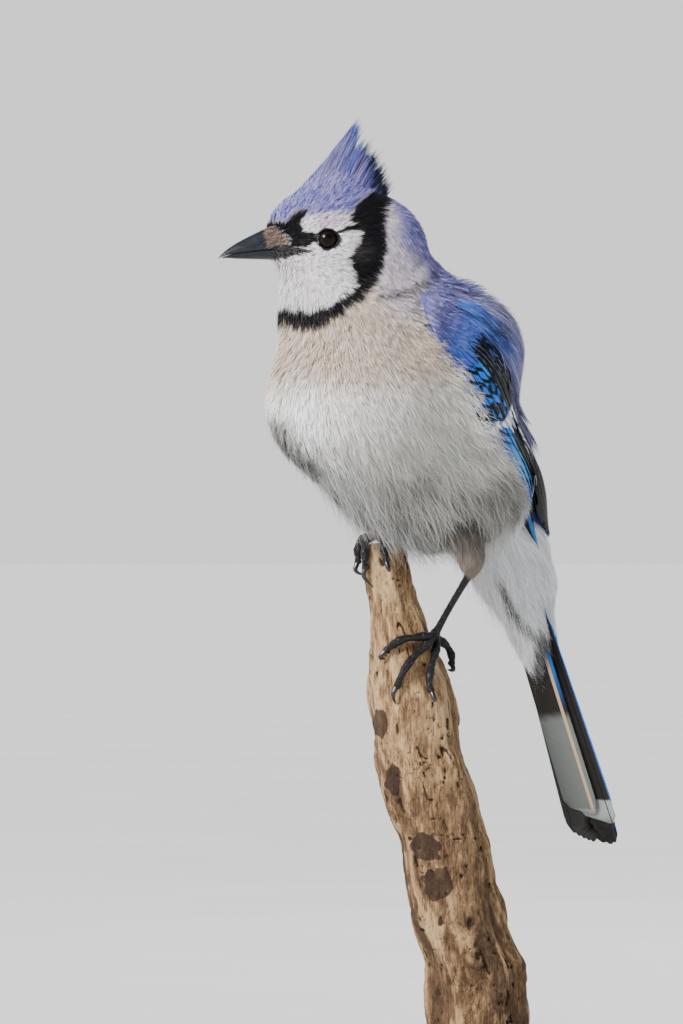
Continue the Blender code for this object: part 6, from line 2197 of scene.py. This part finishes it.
def wood_finish():
    """Pale sun-bleached wood, browner in its hollows, with dark cracks and stains, darker towards the bottom and with
    painted shade down its left edge.
    """
    made = Finish("bleached_wood", Roughness=0.82, Specular_IOR_Level=0.25)
    grain = made.noise(1500.0, 6.0, 0.7, where=made.stretched(1, 1, 0.14), warp=0.5)
    broad = made.noise(160.0, 5.0, 0.65, where=made.stretched(1, 1, 0.4))
    speck = made.noise(1500.0, 3.0, 0.7)
    flaked = made.noise(520.0, 5.0, 0.7, where=made.stretched(1, 1, 0.6), warp=1.2)
    # The painted shade of the left edge, with the darker bottom and knot, lowers the tone
    tone = grain * 0.60 + broad * 0.50 + made.stored("ridge") * 0.22 - made.stored("weathered") * 0.30
    colour = made.ramp(
        tone,
        [
            (0.30, (0.045, 0.024, 0.012)),
            (0.46, (0.16, 0.092, 0.046)),
            (0.62, (0.46, 0.29, 0.145)),
            (0.86, (0.68, 0.48, 0.275)),
        ],
    )
    hollows = (flaked + speck * 0.2).step(0.52, 0.40) * 0.75
    colour = made.mix(hollows, colour, (0.085, 0.045, 0.022))
    stain = (made.stored("stain") + (speck - 0.5) * 0.3 + (flaked - 0.5) * 0.9).step(0.25, 0.7)
    colour = made.mix(stain * (flaked * 0.5 + 0.62), colour, made.mix(speck, (0.012, 0.006, 0.005), (0.048, 0.024, 0.017)))
    dark = (speck * 0.5 + grain * 0.6).step(0.52, 0.40) * 0.7
    colour = made.mix(dark, colour, (0.05, 0.028, 0.015))
    colour = made.mix((made.stored("crack") * 1.1).step(0.25, 0.9) * 0.93, colour, (0.016, 0.009, 0.006))
    made.colour(colour)
    made.roughness(grain * 0.2 + 0.7)
    made.bump(grain * 1.1 + speck * 0.6 + flaked * 1.6, 0.0009, 1.0)
    return made.material


# Legs and claws

TOE_RADIUS = 1.35
CLAW_ROOT = 1.0
LEFT_BALL = (162.0, 66, 1.5)
RIGHT_BALL = (197.2, -30, -7.0)
# Toes from the ball of the foot to the claw's tip: height, degrees round the branch, and clearance beyond the
# toe's own radius
LEFT_TOES = {
    "inner": [(161.5, 50, 1.2), (161.0, 28, 0.5), (160.3, 2, 0.5), (157.5, -20, 0.4), (155.8, -28, 0.4), (153.2, -34, 0.0)],
    "middle": [(160.0, 50, 1.2), (156.8, 28, 0.6), (153.0, 8, 0.4), (148.0, -8, 0.4), (142.8, -19, 0.4), (137.2, -25, 0.0)],
    "outer": [(158.5, 62, 1.2), (154.8, 49, 0.6), (149.8, 34, 0.4), (144.8, 25, 0.4), (141.2, 25, 0.4), (138.6, 30, 0.0)],
    "hind": [(160.5, 82, 1.4), (158.2, 94, 2.6), (155.4, 99, 2.8), (152.8, 98, 1.9), (151.0, 93, 0.8), (149.2, 87, 0.0)],
}
RIGHT_TOES = {
    "inner": [(197.1, 0, -5.0), (195.8, -2, -0.9), (192.6, -2, 0.5), (189.7, 0, 0.3), (187.8, 2, 0.3), (185.0, 8, 0.0)],
    "middle": [(197.1, -45, -5.0), (196.0, -44, -0.9), (192.6, -42, 0.5), (188.4, -43, 0.3), (185.2, -46, 0.3), (178.8, -42, 0.0)],
    "outer": [(197.1, -90, -5.4), (196.2, -84, -1.4), (193.0, -82, 0.2), (189.8, -78, 0.2), (187.4, -76, 0.3), (182.8, -70, 0.0)],
    "hind": [(197.4, 120, -6.0), (196.4, 135, -1.2), (193.6, 138, 0.5), (191.0, 136, 0.3), (188.9, 134, 0.3), (184.6, 130, 0.0)],
}


def scaled_tube(path, radii, tops, sides, plates, pad=0.0):
    """A tube with overlapping plates on its top side and soft pads below, and where its seams are."""
    rows = len(path)
    run = unit(np.gradient(path, axis=0))
    tops = unit(tops - run * np.sum(tops * run, axis=-1, keepdims=True))
    side = np.cross(run, tops)
    turns = np.arange(sides) / sides * 2 * math.pi
    share = np.linspace(0, 1, rows)[:, None]
    on_top = 0.5 + 0.5 * np.sin(turns)[None]
    front = fade(0.32, 0.6, on_top)
    saw = (share * plates) % 1
    lap = 0.12 * (saw**1.5 - 0.5) * front
    pads = pad * (1 - front) * np.abs(np.sin(share * plates * 0.5 * math.pi)) ** 0.6
    grit = 0.05 * (1 - front) * np.sin(share * plates * 4.0 * math.pi) * np.sin(turns * 6)[None]
    size = radii[:, None] * (1 + lap + pads + grit)
    points = (
        path[:, None]
        + (size * np.cos(turns))[..., None] * side[:, None]
        + (size * np.sin(turns))[..., None] * tops[:, None]
    ).reshape(-1, 3)
    seam = np.maximum(fade(0.1, 0.0, saw), fade(0.93, 1.0, saw)) * front
    seam = np.maximum(seam, 0.6 * np.exp(-(((on_top - 0.42) / 0.05) ** 2)) * np.ones((rows, 1)))
    count = rows * sides
    caps = np.vstack(
        [
            fan_faces(np.arange(sides), count, turned=True),
            fan_faces(np.arange(count - sides, count), count + 1),
        ]
    )
    points = np.vstack([points, path[0], path[-1]])
    numbers = {"seam": np.append(seam.ravel(), [0, 0]), "front": np.append(np.broadcast_to(front, seam.shape), [0, 0])}
    return points, grid_faces(rows, sides, wrap=True), caps, numbers


def knuckle(centre, radius, axes):
    """A rounded ball as arrays."""
    rows, columns = 18, 24
    polar = np.linspace(0.06, math.pi - 0.06, rows)[:, None]
    turns = (np.arange(columns) / columns * 2 * math.pi)[None]
    local = np.stack(
        [np.sin(polar) * np.cos(turns), np.sin(polar) * np.sin(turns), np.cos(polar) + 0 * turns], axis=-1
    ).reshape(-1, 3)
    points = centre + (local * radius) @ axes
    count = rows * columns
    points = np.vstack([points, points[:columns].mean(axis=0), points[-columns:].mean(axis=0)])
    caps = np.vstack(
        [
            fan_faces(np.arange(columns), count),
            fan_faces(np.arange(count - columns, count), count + 1, turned=True),
        ]
    )
    numbers = {"seam": np.zeros(len(points)), "front": np.ones(len(points))}
    return points, grid_faces(rows, columns, wrap=True)[:, ::-1], caps, numbers


def build_foot(name, toes, ball_station, tarsus_top, ahead):
    """A bare leg with plates down its front, four toes with pads, and four hooked claws."""
    height, turn, clear = ball_station
    middle = on_branch(height, turn, TOE_RADIUS + 0.35 + clear)
    path = smooth_path([middle, middle + 0.45 * (tarsus_top - middle) + [0, 0, 0.4], tarsus_top], 150)
    shares = np.linspace(0, 1, 150)
    radii = 1.22 + 0.40 * np.abs(2 * shares - 1) ** 3.4
    parts = [scaled_tube(path, radii, np.tile(ahead, (150, 1)), 26, 9.5)]
    for toe_name, stations in toes.items():
        line = np.array([on_branch(h, t, TOE_RADIUS + 0.35 + c) for h, t, c in stations[:-1]])
        tip_height, tip_turn, tip_clear = stations[-1]
        claw_tip = on_branch(tip_height, tip_turn, 0.35 + tip_clear)
        line = smooth_path(np.vstack([middle, line]), 90)
        share = np.linspace(0, 1, 90)
        axis = np.stack([*branch_middle(line[:, 2]), line[:, 2]], axis=-1)
        tops = unit(line - axis)
        size = TOE_RADIUS * (1.10 - 0.2 * share + 0.14 * np.cos(share * 6 * math.pi))
        size = size * (1 - 0.25 * fade(0.95, 1.0, share))
        parts.append(scaled_tube(line, size, tops, 24, 9.0, pad=0.12))
        end, run = line[-1], unit(line[-1] - line[-3])
        outward = unit(end - np.append(branch_middle(end[2]), end[2]))
        bend = smooth_path([end - run * 0.8, end + run * 2.6 + outward * 0.9, claw_tip], 40)
        along = np.linspace(0, 1, 40)
        claw_size = CLAW_ROOT * np.interp(along * 6, np.arange(7), [1, 0.98, 0.92, 0.8, 0.62, 0.42, 0.13])
        points, quads, caps, numbers = scaled_tube(bend, claw_size, np.tile(outward, (40, 1)), 20, 0.001)
        numbers = {"along_claw": np.append(np.repeat(along, 20), [0, 1])}
        piece = mesh_piece(f"{name[4:]}_{toe_name}_claw", points, [quads, caps], CLAW_FINISH, numbers)
        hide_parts(f"claw_{name[4:]}_{toe_name}")
    parts.append(knuckle(middle, np.array([1.9, 1.9, 2.2]), np.eye(3)))
    points, faces, numbers = gathered(parts)
    leg = mesh_piece(name + "_skin", points, faces, LEG_FINISH, numbers)
    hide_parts(name)


def leg_finish():
    """Dark horny plates with paler seams and a dull gloss."""
    made = Finish("leg_plates", Roughness=0.4, Specular_IOR_Level=0.3)
    fine = made.noise(1600.0, 3.0, 0.6)
    broad = made.noise(260.0, 2.0)
    cell = made.number("TexVoronoi", {"feature": "DISTANCE_TO_EDGE"}, {"Vector": made.place(), "Scale": 1500.0})
    tone = made.mix((broad * 0.8 + fine * 0.4).step(0.3, 0.85), (0.002, 0.002, 0.0024), (0.010, 0.009, 0.011))
    seam = made.stored("seam")
    tone = made.mix((seam * 1.2 - fine * 0.3).step(0.25, 0.85) * 0.5, tone, (0.075, 0.065, 0.07))
    grain = cell.step(0.08, 0.0) * (1 - made.stored("front"))
    tone = made.mix(grain * 0.5, tone, (0.04, 0.035, 0.035))
    made.colour(tone)
    made.roughness(fine * 0.3 + seam * 0.2 + 0.16)
    made.bump(fine * 0.6 + cell.step(0.0, 0.12) * 0.6 - seam * 1.2, 0.00025, 0.9)
    return made.material


def claw_finish():
    """Polished black horn, dull at its root."""
    made = Finish("claw_horn", Roughness=0.3, Specular_IOR_Level=0.6, Coat_Weight=0.3, Coat_Roughness=0.15)
    fine = made.noise(2400.0, 2.0, 0.5, where=made.stretched(1, 1, 0.4))
    along = made.stored("along_claw")
    made.colour(made.mix((fine * 0.8 + along * 0.3).step(0.4, 1.0), (0.002, 0.002, 0.0025), (0.013, 0.012, 0.012)))
    made.roughness(fine * 0.25 + 0.2)
    made.bump(fine, 0.00008, 0.5)
    return made.material


# The stand


def paint_finish():
    """Satin black powder paint with its fine orange peel."""
    made = Finish("satin_black_paint", Roughness=0.42, Specular_IOR_Level=0.5)
    peel = made.noise(1100.0, 2.0, 0.5)
    scuff = made.noise(60.0, 4.0, 0.6)
    made.colour(made.mix(scuff.step(0.35, 0.75), (0.017, 0.017, 0.018), (0.027, 0.027, 0.028)))
    made.roughness(scuff * 0.14 + peel * 0.1 + 0.3)
    made.bump(peel, 0.00006, 0.6)
    return made.material


def steel_finish():
    """Brushed steel rod, its lines round the rod."""
    made = Finish("brushed_steel", Metallic=1.0, Roughness=0.3)
    brushed = made.noise(500.0, 3.0, 0.6, where=made.stretched(0.6, 0.6, 9.0))
    made.colour(made.mix(brushed, (0.42, 0.42, 0.43), (0.62, 0.62, 0.63)))
    made.roughness(brushed * 0.22 + 0.2)
    made.bump(brushed, 0.00003, 0.5)
    return made.material


def finish_stand():
    """Better finishes for the stand's own nodes, which stay."""
    for names, finish in ((("stand_base",), paint_finish()), (("stand_rod_1", "stand_rod_2"), steel_finish())):
        for name in names:
            for place in bpy.data.objects[name].material_slots:
                place.material = finish


EYE_FINISH = eye_finish()
LID_FINISH = lid_finish()
BILL_FINISH = bill_finish()
WOOD_FINISH = wood_finish()
LEG_FINISH = leg_finish()
CLAW_FINISH = claw_finish()
LEFT_HEEL_TOP = THIGH_HEEL + unit(np.array([-13.7, 14.6, -27.4])) * GAP
RIGHT_LEG_TOP = np.array([-27.5, -6.0, 214.0])


# Camera, light and floor

FRAME_CENTRE = (-42.66, 205.9)
FRAME_HEIGHT = 368.64
CAMERA_AWAY = 3000.0


def build_studio():
    """A long lens square to the front, a pale floor and soft lights."""
    lens = bpy.data.cameras.new("camera")
    lens.sensor_width = 36.0
    lens.lens = 36.0 * CAMERA_AWAY / FRAME_HEIGHT
    lens.clip_end = 120.0
    camera = bpy.data.objects.new("camera", lens)
    camera.location = (FRAME_CENTRE[0] * MM, -CAMERA_AWAY * MM, FRAME_CENTRE[1] * MM)
    camera.rotation_euler = (math.pi / 2, 0, 0)
    bpy.context.scene.collection.objects.link(camera)
    bpy.context.scene.camera = camera
    # A broad soft key from the upper left, and a weaker light from behind on the right
    sun = bpy.data.lights.new("key_light", "SUN")
    sun.energy = 7.4
    sun.angle = math.radians(20)
    sun.color = (1.0, 0.975, 0.94)
    lamp = bpy.data.objects.new("key_light", sun)
    lamp.location = (-1.2, -1.2, 1.3)
    lamp.rotation_euler = Vector((0.66, 0.56, -0.58)).to_track_quat("-Z", "Y").to_euler()
    bpy.context.scene.collection.objects.link(lamp)
    rim = bpy.data.lights.new("rim_light", "AREA")
    rim.size = 0.7
    rim.energy = 8.0
    lamp = bpy.data.objects.new("rim_light", rim)
    lamp.location = (0.75, 0.9, 1.1)
    aim = Vector((-0.02, 0, 0.22)) - lamp.location
    lamp.rotation_euler = aim.to_track_quat("-Z", "Y").to_euler()
    bpy.context.scene.collection.objects.link(lamp)
    world = bpy.data.worlds.new("studio")
    world.use_nodes = True
    nodes, links = world.node_tree.nodes, world.node_tree.links
    # The backdrop is as bright as the far floor at the horizon and darker overhead
    rise = nodes.new("ShaderNodeSeparateXYZ")
    links.new(nodes.new("ShaderNodeTexCoord").outputs["Generated"], rise.inputs[0])
    ramp = nodes.new("ShaderNodeValToRGB")
    elements = ramp.color_ramp.elements
    elements[0].position, elements[0].color = 0.10, (1.14, 1.145, 1.15, 1)
    elements[1].position, elements[1].color = 0.42, (0.34, 0.35, 0.37, 1)
    links.new(rise.outputs["Z"], ramp.inputs[0])
    links.new(ramp.outputs[0], nodes["Background"].inputs["Color"])
    nodes["Background"].inputs["Strength"].default_value = 1.0
    bpy.context.scene.world = world
    floor_size = 60.0
    floor = Finish("floor_paper", Roughness=0.9, Specular_IOR_Level=0.1)
    tone = floor.noise(6.0, 2.0)
    floor.colour(floor.mix(tone.step(0.3, 0.7), (0.74, 0.745, 0.75), (0.77, 0.775, 0.78)))
    mesh = bpy.data.meshes.new("floor")
    half = floor_size / 2
    mesh.from_pydata([(-half, -half, 0), (half, -half, 0), (half, half, 0), (-half, half, 0)], [], [(0, 1, 2, 3)])
    mesh.materials.append(floor.material)
    stage = bpy.data.objects.new("floor", mesh)
    bpy.context.scene.collection.objects.link(stage)


def main():
    """Dresses the model and lights it."""
    skin = build_skin()
    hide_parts("torso", "rump", "neck", "head", "thigh_left", "undertail_coverts")
    build_coat()
    build_crest()
    build_loose()
    build_thigh()
    build_bristles()
    for hand, name in ((1, "eye_left"), (-1, "eye_right")):
        round_eye(hand, name)
        lid_rim(hand, "lid" + name[3:])
    bill_half("bill_upper", True)
    bill_half("bill_lower", False)
    build_branch()
    build_foot("leg_left", LEFT_TOES, LEFT_BALL, LEFT_HEEL_TOP, BODY[0])
    build_foot("leg_right", RIGHT_TOES, RIGHT_BALL, RIGHT_LEG_TOP, BODY[0])
    finish_stand()
    for hand, name in ((1, "wing_left"), (-1, "wing_right")):
        build_wing(hand, name)
    build_tail()
    build_studio()


main()
